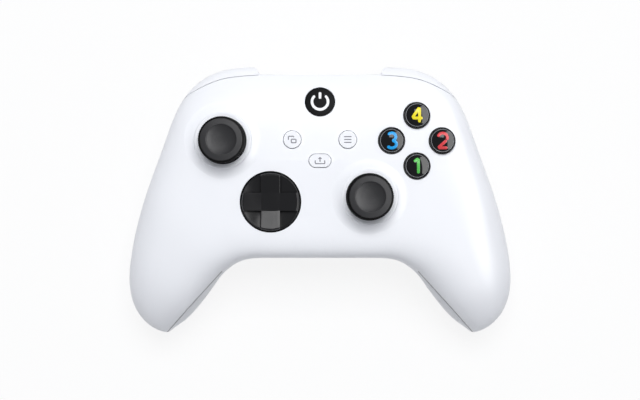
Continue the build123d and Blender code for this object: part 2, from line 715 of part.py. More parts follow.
def trigger_spring():
    """The space of the coiled return spring at the inner end of the pin."""
    length = (TRIGGER_INNER, TRIGGER_INNER + TRIGGER_SPRING_LENGTH - SKIN_GAP)
    inner = TRIGGER_PIN_RADIUS + TRIGGER_PIN_PLAY
    ring = rod_x(TRIGGER_PIVOT, length, inner + TRIGGER_SPRING_WALL)
    return ring - rod_x(TRIGGER_PIVOT, length, inner)


def stick_cap(place):
    """The thumb piece: a rounded disc with a dish, on a neck that narrows below the face."""
    under = CAP_TOP - CAP_HEIGHT
    profile = [
        (0, under + SHAFT_IN_CAP),
        (SHAFT_RADIUS, under + SHAFT_IN_CAP),
        (SHAFT_RADIUS, NECK_BOTTOM),
        (NECK_FOOT_RADIUS, NECK_BOTTOM),
        (NECK_RADIUS, NECK_BOTTOM + NECK_TAPER),
        (NECK_RADIUS, under - NECK_FLARE),
        (NECK_RADIUS + NECK_FLARE, under),
        (CAP_RADIUS - CAP_ROUND, under),
        (CAP_RADIUS, under + CAP_ROUND),
        (CAP_RADIUS, CAP_TOP - CAP_ROUND),
        (CAP_RADIUS - CAP_ROUND, CAP_TOP),
        (0, CAP_TOP),
    ]
    cap = turned(profile, place)
    ball = (DISH_RADIUS ** 2 + DISH_DEPTH ** 2) / (2 * DISH_DEPTH)
    return cap - Pos(place[0], place[1], CAP_TOP - DISH_DEPTH + ball) * Sphere(ball)


def stick_shaft(place):
    low = PIVOT_HEIGHT - SHAFT_BELOW_PIVOT
    return rod_z(place, (low, CAP_TOP - CAP_HEIGHT + SHAFT_IN_CAP), SHAFT_RADIUS)


def around(place, x, y, z):
    """A box with its middle at a stick's pivot, given half sizes."""
    return Pos(place[0], place[1], PIVOT_HEIGHT) * Box(2 * x, 2 * y, 2 * z)


def stick_pivot(place):
    """The inner block of the gimbal, which tilts towards and away from the player."""
    at = (place[1], PIVOT_HEIGHT)
    reach = GIMBAL_HALF_X - PIVOT_PIN_PLAY
    pins = rod_x(at, (place[0] - reach, place[0] + reach), PIVOT_PIN_RADIUS)
    body = around(place, PIVOT_HALF_X, PIVOT_HALF_Y, PIVOT_HALF_Z) + pins
    return body - rod_z(place, (0, CAP_TOP), SHAFT_RADIUS + SHAFT_PLAY)


def stick_gimbal(place):
    """The outer frame of the gimbal, which tilts to the left and right on pins along Y."""
    at = (place[0], PIVOT_HEIGHT)
    reach = MODULE_SIDE / 2 - PIVOT_PIN_PLAY
    body = around(place, GIMBAL_HALF_X, GIMBAL_HALF_Y, GIMBAL_HALF_Z)
    body = body + rod_y(at, (place[1] - reach, place[1] + reach), GIMBAL_PIN_RADIUS)
    body = body - around(place, GIMBAL_WINDOW_X, GIMBAL_WINDOW_Y, OVERRUN)
    hole = PIVOT_PIN_RADIUS + PIVOT_PIN_PLAY
    return body - rod_x((place[1], PIVOT_HEIGHT), (place[0] - OVERRUN, place[0] + OVERRUN), hole)


def stick_yoke(place):
    """The slotted arch over the gimbal, which tilts with the stick and turns the second sensor."""
    length = (place[1] - YOKE_HALF_WIDTH, place[1] + YOKE_HALF_WIDTH)
    at = (place[0], PIVOT_HEIGHT)
    arch = rod_y(at, length, YOKE_OUTER) - rod_y(at, length, YOKE_INNER)
    below = block((place[0] - OVERRUN, place[0] + OVERRUN), (place[1] - OVERRUN, place[1] + OVERRUN),
                  (0, PIVOT_HEIGHT - GIMBAL_PIN_RADIUS))
    arch = arch - below
    slot = SHAFT_RADIUS + YOKE_SLOT_PLAY
    arch = arch - (around(place, YOKE_SLOT_LENGTH / 2, slot, OVERRUN) - below)
    reach = MODULE_SIDE / 2 - PIVOT_PIN_PLAY
    for side in (-1, 1):
        ends = sorted((place[0] + side * (YOKE_INNER + YOKE_OUTER) / 2, place[0] + side * reach))
        arch = arch + rod_x((place[1], PIVOT_HEIGHT), ends, GIMBAL_PIN_RADIUS)
    return arch


def stick_module(place):
    """The metal can round the gimbal, standing on the front board."""
    floor = FRONT_BOARD_BOTTOM + BOARD_WALL
    half = MODULE_SIDE / 2
    inner = half - MODULE_WALL
    x, y = place
    can = block((x - half, x + half), (y - half, y + half), (floor, MODULE_TOP))
    can = can - block(
        (x - inner, x + inner), (y - inner, y + inner), (floor + MODULE_WALL, MODULE_TOP - MODULE_WALL)
    )
    can = can - rod_z(place, (PIVOT_HEIGHT, MODULE_TOP + OVERRUN), MODULE_HOLE_RADIUS)
    hole = GIMBAL_PIN_RADIUS + PIVOT_PIN_PLAY
    can = can - rod_y((x, PIVOT_HEIGHT), (y - OVERRUN, y + OVERRUN), hole)
    return can - rod_x((y, PIVOT_HEIGHT), (x - OVERRUN, x + OVERRUN), hole)


def stick_sensors(place):
    """The two turning sensors on the sides of a stick module."""
    floor = FRONT_BOARD_BOTTOM + BOARD_WALL
    start = MODULE_SIDE / 2 + SENSOR_GAP
    half = SENSOR_LENGTH / 2
    x, y = place
    height = (floor, floor + SENSOR_HEIGHT)
    side = -1 if x > 0 else 1
    ends = sorted((x + side * start, x + side * (start + SENSOR_THICKNESS)))
    first = block(ends, (y - half, y + half), height)
    second = block((x - half, x + half), (y - start - SENSOR_THICKNESS, y - start), height)
    return Compound([first, second])


def dpad():
    """The faceted cross on its dish, with a flange below the face and a tip on the spring plate."""
    x, y = DPAD_PLACE
    low = DPAD_FLANGE_TOP - DPAD_FLANGE_WALL
    dish = rod_z(DPAD_PLACE, (low, DPAD_RIM_TOP), DPAD_RADIUS)
    dish_ball = (DPAD_RADIUS ** 2 + DPAD_DISH_DIP ** 2) / (2 * DPAD_DISH_DIP)
    dish = dish - Pos(x, y, DPAD_RIM_TOP - DPAD_DISH_DIP + dish_ball) * Sphere(dish_ball)
    half = DPAD_ARM_WIDTH / 2
    cross = block((x - DPAD_RADIUS, x + DPAD_RADIUS), (y - half, y + half), (low, DPAD_ARM_TOP))
    cross = cross + block((x - half, x + half), (y - DPAD_RADIUS, y + DPAD_RADIUS), (low, DPAD_ARM_TOP))
    arm_ball = (DPAD_RADIUS ** 2 + DPAD_ARM_DIP ** 2) / (2 * DPAD_ARM_DIP)
    cross = cross - Pos(x, y, DPAD_ARM_TOP - DPAD_ARM_DIP + arm_ball) * Sphere(arm_ball)
    cross = cross & rod_z(DPAD_PLACE, (low, DPAD_ARM_TOP), DPAD_RADIUS)
    flange = rod_z(DPAD_PLACE, (low, DPAD_FLANGE_TOP), DPAD_FLANGE_RADIUS)
    foot = DPAD_SPRING_TOP + DPAD_SPRING_PLAY
    return dish + cross + flange + rod_z(DPAD_PLACE, (foot, low), DPAD_TIP_RADIUS)


def dpad_spring():
    """The four-armed metal plate that the D-pad rocks on, standing on a post on the front board."""
    x, y = DPAD_PLACE
    half = DPAD_SPRING_HALF
    arm = DPAD_SPRING_ARM
    height = (DPAD_SPRING_TOP - DPAD_SPRING_WALL, DPAD_SPRING_TOP)
    plate = block((x - half, x + half), (y - arm, y + arm), height)
    return plate + block((x - arm, x + arm), (y - half, y + half), height)


def dpad_post():
    """The post that carries the spring plate."""
    top = DPAD_SPRING_TOP - DPAD_SPRING_WALL - DPAD_SPRING_PLAY
    floor = FRONT_BOARD_BOTTOM + BOARD_WALL
    post = rod_z(DPAD_PLACE, (floor, top - DPAD_TIP_LENGTH), DPAD_POST_RADIUS)
    return post + rod_z(DPAD_PLACE, (floor, top), DPAD_TIP_RADIUS)


def face_button(place):
    """A domed cap with a flange that holds it under the face and a stem down to its dome."""
    base = FACE_HEIGHT - FRONT_WALL - FACE_FLANGE_DROP
    edge = FACE_BUTTON_TOP - FACE_BUTTON_EDGE
    body = rod_z(place, (base, FACE_BUTTON_TOP), FACE_BUTTON_RADIUS)
    ball = (FACE_BUTTON_RADIUS ** 2 + FACE_BUTTON_EDGE ** 2) / (2 * FACE_BUTTON_EDGE)
    body = body & Pos(place[0], place[1], edge + FACE_BUTTON_EDGE - ball) * Sphere(ball)
    body = body + rod_z(place, (base, edge), FACE_BUTTON_RADIUS)
    body = body + rod_z(place, (base - FACE_FLANGE_WALL, base), FACE_FLANGE_RADIUS)
    return body + rod_z(place, (FACE_STEM_BOTTOM, base), FACE_STEM_RADIUS)


def button_membrane():
    """The rubber mat under the face buttons, with a dome under each."""
    floor = FRONT_BOARD_BOTTOM + BOARD_WALL
    places = face_button_places().values()
    mat = None
    for place in places:
        pad = rod_z(place, (floor, floor + MEMBRANE_WALL), MEMBRANE_MARGIN)
        pad = pad + rod_z(place, (floor, floor + MEMBRANE_WALL + DOME_HEIGHT), DOME_RADIUS)
        mat = pad if mat is None else mat + pad
    middle = rod_z(CLUSTER_PLACE, (floor, floor + MEMBRANE_WALL), CLUSTER_PITCH)
    return mat + middle


def small_button(form_between):
    """A small button from a function that gives its outline with a margin between two heights."""
    base = FACE_HEIGHT - FRONT_WALL - SMALL_FLANGE_DROP
    body = form_between(0, base, FACE_HEIGHT + VIEW_RISE)
    top = body.edges().group_by(Axis.Z)[-1]
    body = fillet(top, VIEW_RISE / 2)
    return body + form_between(SMALL_FLANGE, base - SMALL_FLANGE_WALL, base)


def view_button(side):
    place = (side * VIEW_PLACE[0], VIEW_PLACE[1])
    base = FACE_HEIGHT - FRONT_WALL - SMALL_FLANGE_DROP
    body = small_button(lambda margin, low, high: rod_z(place, (low, high), VIEW_RADIUS + margin))
    return body + rod_z(place, (SMALL_STEM_BOTTOM, base), SMALL_STEM_RADIUS)


def share_button():
    base = FACE_HEIGHT - FRONT_WALL - SMALL_FLANGE_DROP
    return small_button(share_form) + rod_z(SHARE_PLACE, (SMALL_STEM_BOTTOM, base), SMALL_STEM_RADIUS)


def guide_button():
    """The round button on the sloping far part of the face, slightly domed."""
    edge = GUIDE_RISE - GUIDE_DOME
    ball = (GUIDE_RADIUS ** 2 + GUIDE_DOME ** 2) / (2 * GUIDE_DOME)
    body = rod_z((0, 0), (-GUIDE_BODY, GUIDE_RISE), GUIDE_RADIUS)
    body = body & Pos(0, 0, GUIDE_RISE - ball) * Sphere(ball)
    body = body + rod_z((0, 0), (-GUIDE_BODY, edge), GUIDE_RADIUS)
    flange = rod_z((0, 0), (-GUIDE_BODY, GUIDE_FLANGE_WALL - GUIDE_BODY), GUIDE_RADIUS + GUIDE_FLANGE_WIDTH)
    return guide_frame() * (body + flange)


def light_ring():
    """The clear ring below the guide button that lights its edge, on two legs down to the board."""
    top = -GUIDE_BODY - LIGHT_RING_GAP
    outer = GUIDE_RADIUS + GUIDE_FLANGE_WIDTH
    inner = outer - LIGHT_RING_WIDTH
    ring = rod_z((0, 0), (top - LIGHT_RING_WALL, top), outer)
    ring = ring - rod_z((0, 0), (top - LIGHT_RING_WALL, top), inner)
    ring = guide_frame() * ring
    floor = FRONT_BOARD_BOTTOM + BOARD_WALL
    near = GUIDE_PLACE_Y - LIGHT_LEG_NEAR
    tilt = math.radians(GUIDE_TILT)
    rise = (LIGHT_LEG_NEAR - LIGHT_RING_WIDTH) * math.sin(tilt)
    top_of_leg = GUIDE_SURFACE + (top - LIGHT_RING_WALL / 2) * math.cos(tilt) + rise
    for side in (-1, 1):
        ends = sorted((side * LIGHT_LEG_INNER, side * LIGHT_LEG_OUTER))
        ring = ring + block(ends, (near, near + LIGHT_RING_WIDTH), (floor, top_of_leg))
    return ring


def pair_button(form):
    """The pairing button in the centre plate, cut to the plate's curve."""
    flange_near = DEPTH / 2 - BRIDGE_DEPTH + BUMPER_GAP
    stem = rod_y(PAIR_PLACE, (flange_near, DEPTH), PAIR_RADIUS) & form
    return stem + rod_y(PAIR_PLACE, (flange_near - PAIR_FLANGE_WALL, flange_near), PAIR_RADIUS + PAIR_FLANGE)


def cell_places():
    """The Y of the two cells, side by side."""
    step = CELL_RADIUS + CELL_GAP / 2
    return (CELL_ROW_Y - step, CELL_ROW_Y + step)


def cell_end():
    return (CELL_LENGTH + CELL_NIPPLE_LENGTH) / 2


def battery_cell(y, side):
    """One AA cell, its positive end towards the given side."""
    end = cell_end()
    shoulder = end - CELL_NIPPLE_LENGTH
    can = rod_x((y, CELL_HEIGHT), sorted((-side * end, side * shoulder)), CELL_RADIUS)
    return can + rod_x((y, CELL_HEIGHT), sorted((side * shoulder, side * end)), CELL_NIPPLE_RADIUS)


def battery_tray(cavity):
    """The box round the cells, open towards the door, with a flange on the rear shell's inside."""
    roof = CELL_HEIGHT + CELL_RADIUS + TRAY_CLEARANCE
    half = cell_end() + CONTACT_ROOM
    low, high = cell_places()
    near = low - CELL_RADIUS - TRAY_CLEARANCE
    far = high + CELL_RADIUS + TRAY_CLEARANCE
    wall = TRAY_WALL
    box = block((-half - wall, half + wall), (near - wall, far + wall), (TRAY_BOTTOM, roof + wall))
    lip = DOOR_GAP + TRAY_FLANGE
    lip_y = (DOOR_NEAR - lip, DOOR_FAR + lip)
    flange = block((-DOOR_HALF - lip, DOOR_HALF + lip), lip_y, (TRAY_BOTTOM, TRAY_BOTTOM + wall))
    tray = (box + flange) & cavity
    tray = tray - block((-half, half), (near, far), (0, roof))
    return tray - rod_z(SCREWS[-1][:2], (0, FACE_HEIGHT), TRAY_SCREW_HOLE)


def battery_contacts():
    """Four metal plates with a stud for the cell's end."""
    plates = []
    inner = cell_end() + CONTACT_GAP
    outer = cell_end() + CONTACT_ROOM - CONTACT_GAP
    half = CONTACT_WIDTH / 2
    z = (CELL_HEIGHT - CONTACT_HEIGHT / 2, CELL_HEIGHT + CONTACT_HEIGHT / 2)
    for y in cell_places():
        for side in (-1, 1):
            plate = block(sorted((side * (outer - CONTACT_WALL), side * outer)), (y - half, y + half), z)
            stud = rod_x((y, CELL_HEIGHT), sorted((side * inner, side * outer)), CONTACT_STUD_RADIUS)
            plates.append(plate + stud)
    return Compound(plates)


def rear_board():
    """The lower circuit board, with a tongue for the charging socket."""
    z = (REAR_BOARD_BOTTOM, REAR_BOARD_BOTTOM + BOARD_WALL)
    board = block((-REAR_BOARD_HALF, REAR_BOARD_HALF), (REAR_BOARD_NEAR, REAR_BOARD_FAR), z)
    board = board + block((-REAR_TONGUE_HALF, REAR_TONGUE_HALF), (REAR_BOARD_NEAR, REAR_TONGUE_FAR), z)
    return board - rod_z(SCREWS[-1][:2], (0, FACE_HEIGHT), TRAY_SCREW_HOLE)


def front_board():
    """The upper circuit board, which carries the sticks and the switches."""
    z = (FRONT_BOARD_BOTTOM, FRONT_BOARD_BOTTOM + BOARD_WALL)
    board = block((-FRONT_BOARD_HALF, FRONT_BOARD_HALF), (FRONT_BOARD_NEAR, FRONT_BOARD_FAR), z)
    board = fillet(board.edges().filter_by(Axis.Z), DOOR_CORNER)
    return board - rod_z(SCREWS[-1][:2], (0, FACE_HEIGHT), BOSS_RADIUS + SCREW_PLAY)


def board_link():
    """The plug block that joins the two boards."""
    x, y = BOARD_LINK_PLACE
    z = (REAR_BOARD_BOTTOM + BOARD_WALL, FRONT_BOARD_BOTTOM)
    half = BOARD_LINK_LENGTH / 2
    return block((x - half, x + half), (y - BOARD_LINK_WIDTH / 2, y + BOARD_LINK_WIDTH / 2), z)


def cradle(x, z, y, radius):
    """Two walls that hold a motor from above, joined to the frame."""
    outer = radius + CRADLE_GAP + CRADLE_WALL
    roof = (FRAME_BOTTOM, FRAME_BOTTOM + FRAME_WALL)
    piece = block((x - outer, x + outer), y, roof)
    for side in (-1, 1):
        ends = sorted((x + side * (radius + CRADLE_GAP), x + side * outer))
        piece = piece + block(ends, y, (z, roof[1]))
    return piece


def frame():
    """The frame between the boards, with posts to both and cradles for the motors."""
    z = (FRAME_BOTTOM, FRAME_BOTTOM + FRAME_WALL)
    plate = block((-FRAME_HALF, FRAME_HALF), (FRAME_NEAR, FRAME_FAR), z)
    for place in FRAME_POST_PLACES:
        plate = plate + rod_z(place, (REAR_BOARD_BOTTOM + BOARD_WALL, FRONT_BOARD_BOTTOM), FRAME_POST_RADIUS)
    x, height = RUMBLE_PLACE
    middle = (RUMBLE_NEAR + RUMBLE_FAR) / 2
    y = (middle - CRADLE_LENGTH / 2, middle + CRADLE_LENGTH / 2)
    arm = block(
        (FRAME_HALF - CRADLE_LENGTH, x), (FRAME_NEAR - CRADLE_LENGTH / 2, FRAME_NEAR + CRADLE_WALL), z
    )
    arm = arm + cradle(x, height, y, RUMBLE_RADIUS)
    pulse_y, pulse_z = PULSE_PLACE
    wall = PULSE_RADIUS + CRADLE_GAP
    clip_x = (PULSE_INNER + CRADLE_WALL, PULSE_OUTER - CRADLE_WALL)
    for side in (-1, 1):
        ends = sorted((pulse_y + side * wall, pulse_y + side * (wall + CRADLE_WALL)))
        arm = arm + block(clip_x, ends, (pulse_z, z[1]))
    link = BOARD_LINK_PLACE
    half = BOARD_LINK_LENGTH / 2 + BOARD_LINK_GAP
    depth = BOARD_LINK_WIDTH / 2 + BOARD_LINK_GAP
    plate = plate + arm + other_side(arm)
    plate = plate - block(
        (link[0] - half, link[0] + half), (link[1] - depth, link[1] + depth), (0, FACE_HEIGHT)
    )
    return plate - rod_z(SCREWS[-1][:2], (0, FACE_HEIGHT), TRAY_SCREW_HOLE)


def usb_socket():
    """The charging socket: an oval metal shell with a tongue inside, open away from the player."""
    far = DEPTH / 2 - OUTER_STEP
    y = (far - USB_LENGTH, far)
    shell = usb_slot(0, y) - usb_slot(-USB_WALL, (y[0] + USB_WALL, y[1] + USB_LENGTH))
    half = USB_TONGUE_WIDTH / 2
    z = (usb_height() - USB_TONGUE_WALL / 2, usb_height() + USB_TONGUE_WALL / 2)
    return shell + block((-half, half), (y[0], y[1] - USB_TONGUE_STEP), z)


def headset_jack():
    """The round socket for a headset plug, open towards the player."""
    x, z = JACK_PLACE, JACK_HEIGHT
    half = JACK_BODY_HALF
    shoulder = JACK_NEAR + JACK_NOSE_LENGTH
    far = JACK_NEAR + JACK_LENGTH
    body = block((x - half, x + half), (shoulder, far), (z - half, z + half))
    body = body + rod_y((x, z), (JACK_NEAR, shoulder), JACK_NOSE_RADIUS)
    return body - rod_y((x, z), (JACK_NEAR - OVERRUN, far), JACK_BORE_RADIUS)


def expansion_port():
    """The wide accessory socket with its row of contacts, open towards the player."""
    far = JACK_NEAR + PORT_LENGTH
    body = port_block(0, (JACK_NEAR, far))
    body = body - port_block(-PORT_WALL, (JACK_NEAR - OVERRUN, far - PORT_WALL))
    for step in range(PORT_CONTACTS):
        x = (step - (PORT_CONTACTS - 1) / 2) * PORT_CONTACT_PITCH
        body = body + rod_y((x, JACK_HEIGHT), (JACK_NEAR + PORT_WALL, far - PORT_WALL), PORT_CONTACT_RADIUS)
    return body


def rumble_motor():
    """The right grip's motor can with its shaft towards the player."""
    x, z = RUMBLE_PLACE
    tip = RUMBLE_NEAR - RUMBLE_WEIGHT_GAP - RIGHT_WEIGHT_LENGTH
    can = rod_y((x, z), (RUMBLE_NEAR, RUMBLE_FAR), RUMBLE_RADIUS)
    return can + rod_y((x, z), (tip, RUMBLE_NEAR), RUMBLE_SHAFT_RADIUS)


def rumble_weight(radius, length, side):
    """An off-centre weight: a hub round the motor shaft and a half disc."""
    x, z = RUMBLE_PLACE
    far = RUMBLE_NEAR - RUMBLE_WEIGHT_GAP
    y = (far - length, far)
    disc = rod_y((x, z), y, radius) - block((0, WIDTH), (-DEPTH, DEPTH), (z, z + OVERRUN))
    weight = disc + rod_y((x, z), y, WEIGHT_HUB_RADIUS)
    weight = weight - rod_y((x, z), (-DEPTH, DEPTH), RUMBLE_SHAFT_RADIUS + TRIGGER_PIN_PLAY)
    return weight if side > 0 else other_side(weight)


def pulse_motor():
    """The small motor behind the right trigger, its shaft outwards."""
    tip = PULSE_OUTER + PULSE_WEIGHT_GAP + PULSE_WEIGHT_LENGTH
    can = rod_x(PULSE_PLACE, (PULSE_INNER, PULSE_OUTER), PULSE_RADIUS)
    return can + rod_x(PULSE_PLACE, (PULSE_OUTER, tip), PULSE_SHAFT_RADIUS)


def pulse_weight():
    y, z = PULSE_PLACE
    start = PULSE_OUTER + PULSE_WEIGHT_GAP
    x = (start, start + PULSE_WEIGHT_LENGTH)
    disc = rod_x(PULSE_PLACE, x, PULSE_WEIGHT_RADIUS) - block((0, WIDTH), (0, DEPTH), (z, z + OVERRUN))
    weight = disc + rod_x(PULSE_PLACE, x, PULSE_HUB_RADIUS)
    return weight - rod_x(PULSE_PLACE, (0, WIDTH), PULSE_SHAFT_RADIUS + TRIGGER_PIN_PLAY)


def casing_screws():
    screws = []
    for x, y, seat, low in SCREWS:
        top = seat - SCREW_HEAD_GAP
        head = rod_z((x, y), (top - SCREW_HEAD_HEIGHT, top), SCREW_HEAD_RADIUS)
        screws.append(head + rod_z((x, y), (top, seat + SCREW_LENGTH), SCREW_RADIUS))
    return Compound(screws)


def casing_parts():
    """The shells, the door and what the casing carries."""
    face = face_with_collars()
    plain = casing_form()
    back = above_rest(casing_form(recessed=True))
    cavity = casing_form(REAR_WALL, recessed=True)
    panels = grip_panels(back)
    bumpers = both_sides(bumper(plain))
    return {
        "front_shell": front_shell(face),
        "rear_shell": rear_shell(back, cavity),
        "left_grip_panel": panels[0],
        "right_grip_panel": panels[1],
        "battery_door": battery_door(back, cavity),
        "bridge_plate": bridge_plate(back, cavity),
        "left_bumper": bumpers[0],
        "right_bumper": bumpers[1],
        "battery_tray": battery_tray(cavity),
        "pair_button": pair_button(back),
    }


def inner_parts():
    """The boards, the frame, the sockets, the cells and the fasteners."""
    cells = cell_places()
    return {
        "front_board": front_board(),
        "rear_board": rear_board(),
        "board_link": board_link(),
        "frame": frame(),
        "usb_socket": usb_socket(),
        "headset_jack": headset_jack(),
        "expansion_port": expansion_port(),
        "near_battery_cell": battery_cell(cells[0], 1),
        "far_battery_cell": battery_cell(cells[1], -1),
        "battery_contacts": battery_contacts(),
        "casing_screws": casing_screws(),
        "button_membrane": button_membrane(),
        "light_ring": light_ring(),
        "dpad_post": dpad_post(),
    }


def stick_parts():
    parts = {}
    for side, place in (("left", LEFT_STICK), ("right", RIGHT_STICK)):
        parts[side + "_stick_cap"] = stick_cap(place)
        parts[side + "_stick_shaft"] = stick_shaft(place)
        parts[side + "_stick_pivot"] = stick_pivot(place)
        parts[side + "_stick_gimbal"] = stick_gimbal(place)
        parts[side + "_stick_yoke"] = stick_yoke(place)
        parts[side + "_stick_module"] = stick_module(place)
        parts[side + "_stick_sensors"] = stick_sensors(place)
    return parts


def button_parts():
    parts = {
        "dpad": dpad(),
        "dpad_spring": dpad_spring(),
        "view_button": view_button(-1),
        "menu_button": view_button(1),
        "share_button": share_button(),
        "guide_button": guide_button(),
    }
    for name, place in face_button_places().items():
        parts[name + "_face_button"] = face_button(place)
    return parts


def trigger_parts():
    parts = {
        "trigger_pins": Compound(both_sides(trigger_pin())),
        "trigger_springs": Compound(both_sides(trigger_spring())),
    }
    parts["left_trigger"], parts["right_trigger"] = both_sides(trigger())
    parts["left_pulse_motor"], parts["right_pulse_motor"] = both_sides(pulse_motor())
    parts["left_pulse_weight"], parts["right_pulse_weight"] = both_sides(pulse_weight())
    parts["left_rumble_motor"], parts["right_rumble_motor"] = both_sides(rumble_motor())
    parts["left_rumble_weight"] = rumble_weight(LEFT_WEIGHT_RADIUS, LEFT_WEIGHT_LENGTH, -1)
    parts["right_rumble_weight"] = rumble_weight(RIGHT_WEIGHT_RADIUS, RIGHT_WEIGHT_LENGTH, 1)
    return parts


os.makedirs("parts", exist_ok=True)
for parts in (casing_parts(), inner_parts(), stick_parts(), button_parts(), trigger_parts()):
    for name, piece in parts.items():
        export_step(piece, "parts/" + name + ".step")
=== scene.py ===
import json
import math

import bmesh
import bpy
import numpy as np
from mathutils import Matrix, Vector


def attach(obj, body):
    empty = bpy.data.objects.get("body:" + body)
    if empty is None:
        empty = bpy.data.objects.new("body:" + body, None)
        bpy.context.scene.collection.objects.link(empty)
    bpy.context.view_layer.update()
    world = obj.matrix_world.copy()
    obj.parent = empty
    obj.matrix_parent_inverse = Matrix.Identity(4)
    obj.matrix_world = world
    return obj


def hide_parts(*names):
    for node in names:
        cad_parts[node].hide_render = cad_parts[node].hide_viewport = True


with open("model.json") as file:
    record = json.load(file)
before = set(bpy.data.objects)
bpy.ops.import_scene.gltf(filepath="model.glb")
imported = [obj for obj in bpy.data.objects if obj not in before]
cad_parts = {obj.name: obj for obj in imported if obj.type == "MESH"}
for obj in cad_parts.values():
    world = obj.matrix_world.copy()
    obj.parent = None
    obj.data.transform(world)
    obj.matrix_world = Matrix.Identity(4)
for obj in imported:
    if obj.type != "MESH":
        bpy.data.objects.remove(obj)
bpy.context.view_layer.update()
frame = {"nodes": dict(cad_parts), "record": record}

bl_info = {
    "name": "Game Controller Dressing",
    "version": (1, 0, 0),
    "blender": (4, 5, 0),
    "location": "View3D > Sidebar > Controller",
    "description": "Finishes and detailed pieces for a two-handed game controller",
    "category": "Object",
}

MM = 0.001

# Places on the controller, in millimetres, as its solids have them.
STICKS = {"left": (-37.4, 23.6), "right": (19.1, 1.9)}
PAD_PLACE = (-19.1, 0.0)
FACE_BUTTONS = {
    "bottom": (37.4, 13.8),
    "right": (47.2, 23.6),
    "left": (27.6, 23.6),
    "top": (37.4, 33.4),
}
DOME_TOP = 46.9
DOME_RADIUS = 9.083
VIEW_PLACE = (-10.7, 24.0)
MENU_PLACE = (10.7, 24.0)
SHARE_PLACE = (0.0, 15.85)
SMALL_TOP = 45.7
GUIDE_MIDDLE = (0.0, 38.75, 42.95)
GUIDE_TILT = math.radians(13.0)
GUIDE_RISE = 0.6
GUIDE_SPHERE = 32.97
# Seam between the front and a grip, from the grip's tip inward, as (|x|, y).
GRIP_SEAM = ((59.96, -50.8), (38.65, -27.4))
DOT_PITCH = 0.85
DOT_HEIGHT = 0.09
BUMPER_CORNER = 3.3

# Heights on a thumb stick, with the height below which it is painted darker as painted shade, and the profile
# of its neck, as (radius, height).
STICK_FACE = 57.02
STICK_LAND = (57.37, 57.14)
STICK_SHADE_LOW = 54.2
STICK_NECK = [
    (6.4, 53.24), (5.7, 53.2), (4.9, 52.8), (4.35, 52.2), (4.05, 51.5), (4.0, 50.5), (4.0, 47.0),
    (3.2, 45.05), (1.6, 45.0),
]
# Profile of the band on a stick's ring, from its bore outward.
COLLAR_BORE = [(9.17, 45.0), (9.17, 45.6), (9.17, 46.2)]
COLLAR_TOP = [(10.0, 46.96), (10.25, 46.96)]
COLLAR_SHOULDER = [(11.04, 46.4)]
COLLAR_FOOT = 11.25
COLLAR_RISE = 1.35
# A face button: its dome, a light grey band near its edge that is a painted highlight, and groove, flange and
# stem below.
CAP_DOME = 4.2
CAP_HIGHLIGHT_BAND = (4.24, 4.4)
CAP_HIGHLIGHT_LOW = 45.7
CAP_GROOVE = [(4.52, 45.55), (4.6, 45.53)]
CAP_BODY = [
    (5.0, 45.2), (5.0, 39.6), (5.7, 39.6), (5.7, 38.6), (3.0, 38.6), (3.0, 34.4), (1.5, 34.4),
]
# The direction pad: its dish, the part below the rim and the cross.
PAD_DISH = 10.75
PAD_DISH_LOW = 43.3
PAD_DISH_DEPTH = 1.75
PAD_SKIRT = [(11.3, 44.0), (11.3, 41.0), (12.8, 41.0), (12.8, 39.8), (0.9, 39.8), (0.9, 39.3)]
PAD_UPRIGHT = (3.78, 45.5)
PAD_LEVEL = (3.55, 45.49)
PAD_MIDDLE = 3.6
PAD_CREST = 10.3
PAD_END = 11.12
PAD_RISE = 1.4
PAD_ROUND = 1.3
PAD_FLOOR = 42.6
PAD_SIDE = 2.6
PAD_SOFT = 0.28

# Standby sign: radius of its ring, and the width and thickness of its lines.
GUIDE_RING = 3.1
GUIDE_STROKE = 1.05
GUIDE_LIFT = 0.04
NUMBER_LIFT = 0.05
SIGN_LIFT = 0.03

# Share of a plain surface's mirror reflection on satin and on gloss.
SATIN_LEVEL = 0.12
GLOSS_LEVEL = 0.35

# Stage, in metres: each lamp's place, size, power in watts and the rays that don't see it.
FLOOR_HALF = 4.0
FLOOR_DROP = 0.0001
ROOM_STRENGTH = 0.31
LAMP_AIM = (0, 0, 0.04)
LAMPS = {
    "key_lamp": ((0.06, 0.5, 1.35), (0.75, 0.65), 17.0, "visible_glossy"),
    "strip_lamp": ((0.05, 0.6, 1.3), (0.5, 0.35), 3.2, "visible_diffuse"),
    "window_lamp": ((0.85, 0.12, 0.85), (2.0, 0.75), 22.0, "visible_diffuse"),
}
CAMERA_PLACE = (0, 0.0007, 0.645)
SENSOR_WIDTH = 36.0
FRAME_WIDTH = 640
SLOPE_PER_PIXEL = 0.0006425


# Meshes from grids of points

def ring_mesh(name, rows, endless=False):
    """A closed mesh from rows of points, each row a ring, with both ends gathered in their middle.

    rows has the shape (rows, points in a ring, 3), in millimetres. Point (i, j) is joined to
    (i + 1, j) and to (i, j + 1), and j closes round. Endless rows close round too, as on a tyre.
    """
    count, around = rows.shape[:2]
    ring = np.arange(around)
    after = (ring + 1) % around
    if endless:
        line = np.arange(count)[:, None] * around
        below = (line + around) % (count * around)
        quads = np.stack([line + ring, below + ring, below + after, line + after], axis=-1)
        mesh = bpy.data.meshes.new(name)
        mesh.from_pydata((rows.reshape(-1, 3) * MM).tolist(), [], quads.reshape(-1, 4).tolist())
        return mesh
    start = np.arange(count - 1)[:, None] * around
    quads = np.stack([start + ring, start + around + ring, start + around + after, start + after], axis=-1)
    ends = np.stack([rows[0].mean(axis=0), rows[-1].mean(axis=0)])
    points = np.concatenate([rows.reshape(-1, 3), ends]) * MM
    first = count * around
    last = first + 1
    tail = (count - 1) * around
    fan = np.stack([np.full(around, first), ring, after], axis=-1)
    back = np.stack([np.full(around, last), tail + after, tail + ring], axis=-1)
    faces = quads.reshape(-1, 4).tolist() + fan.tolist() + back.tolist()
    mesh = bpy.data.meshes.new(name)
    mesh.from_pydata(points.tolist(), [], faces)
    return mesh


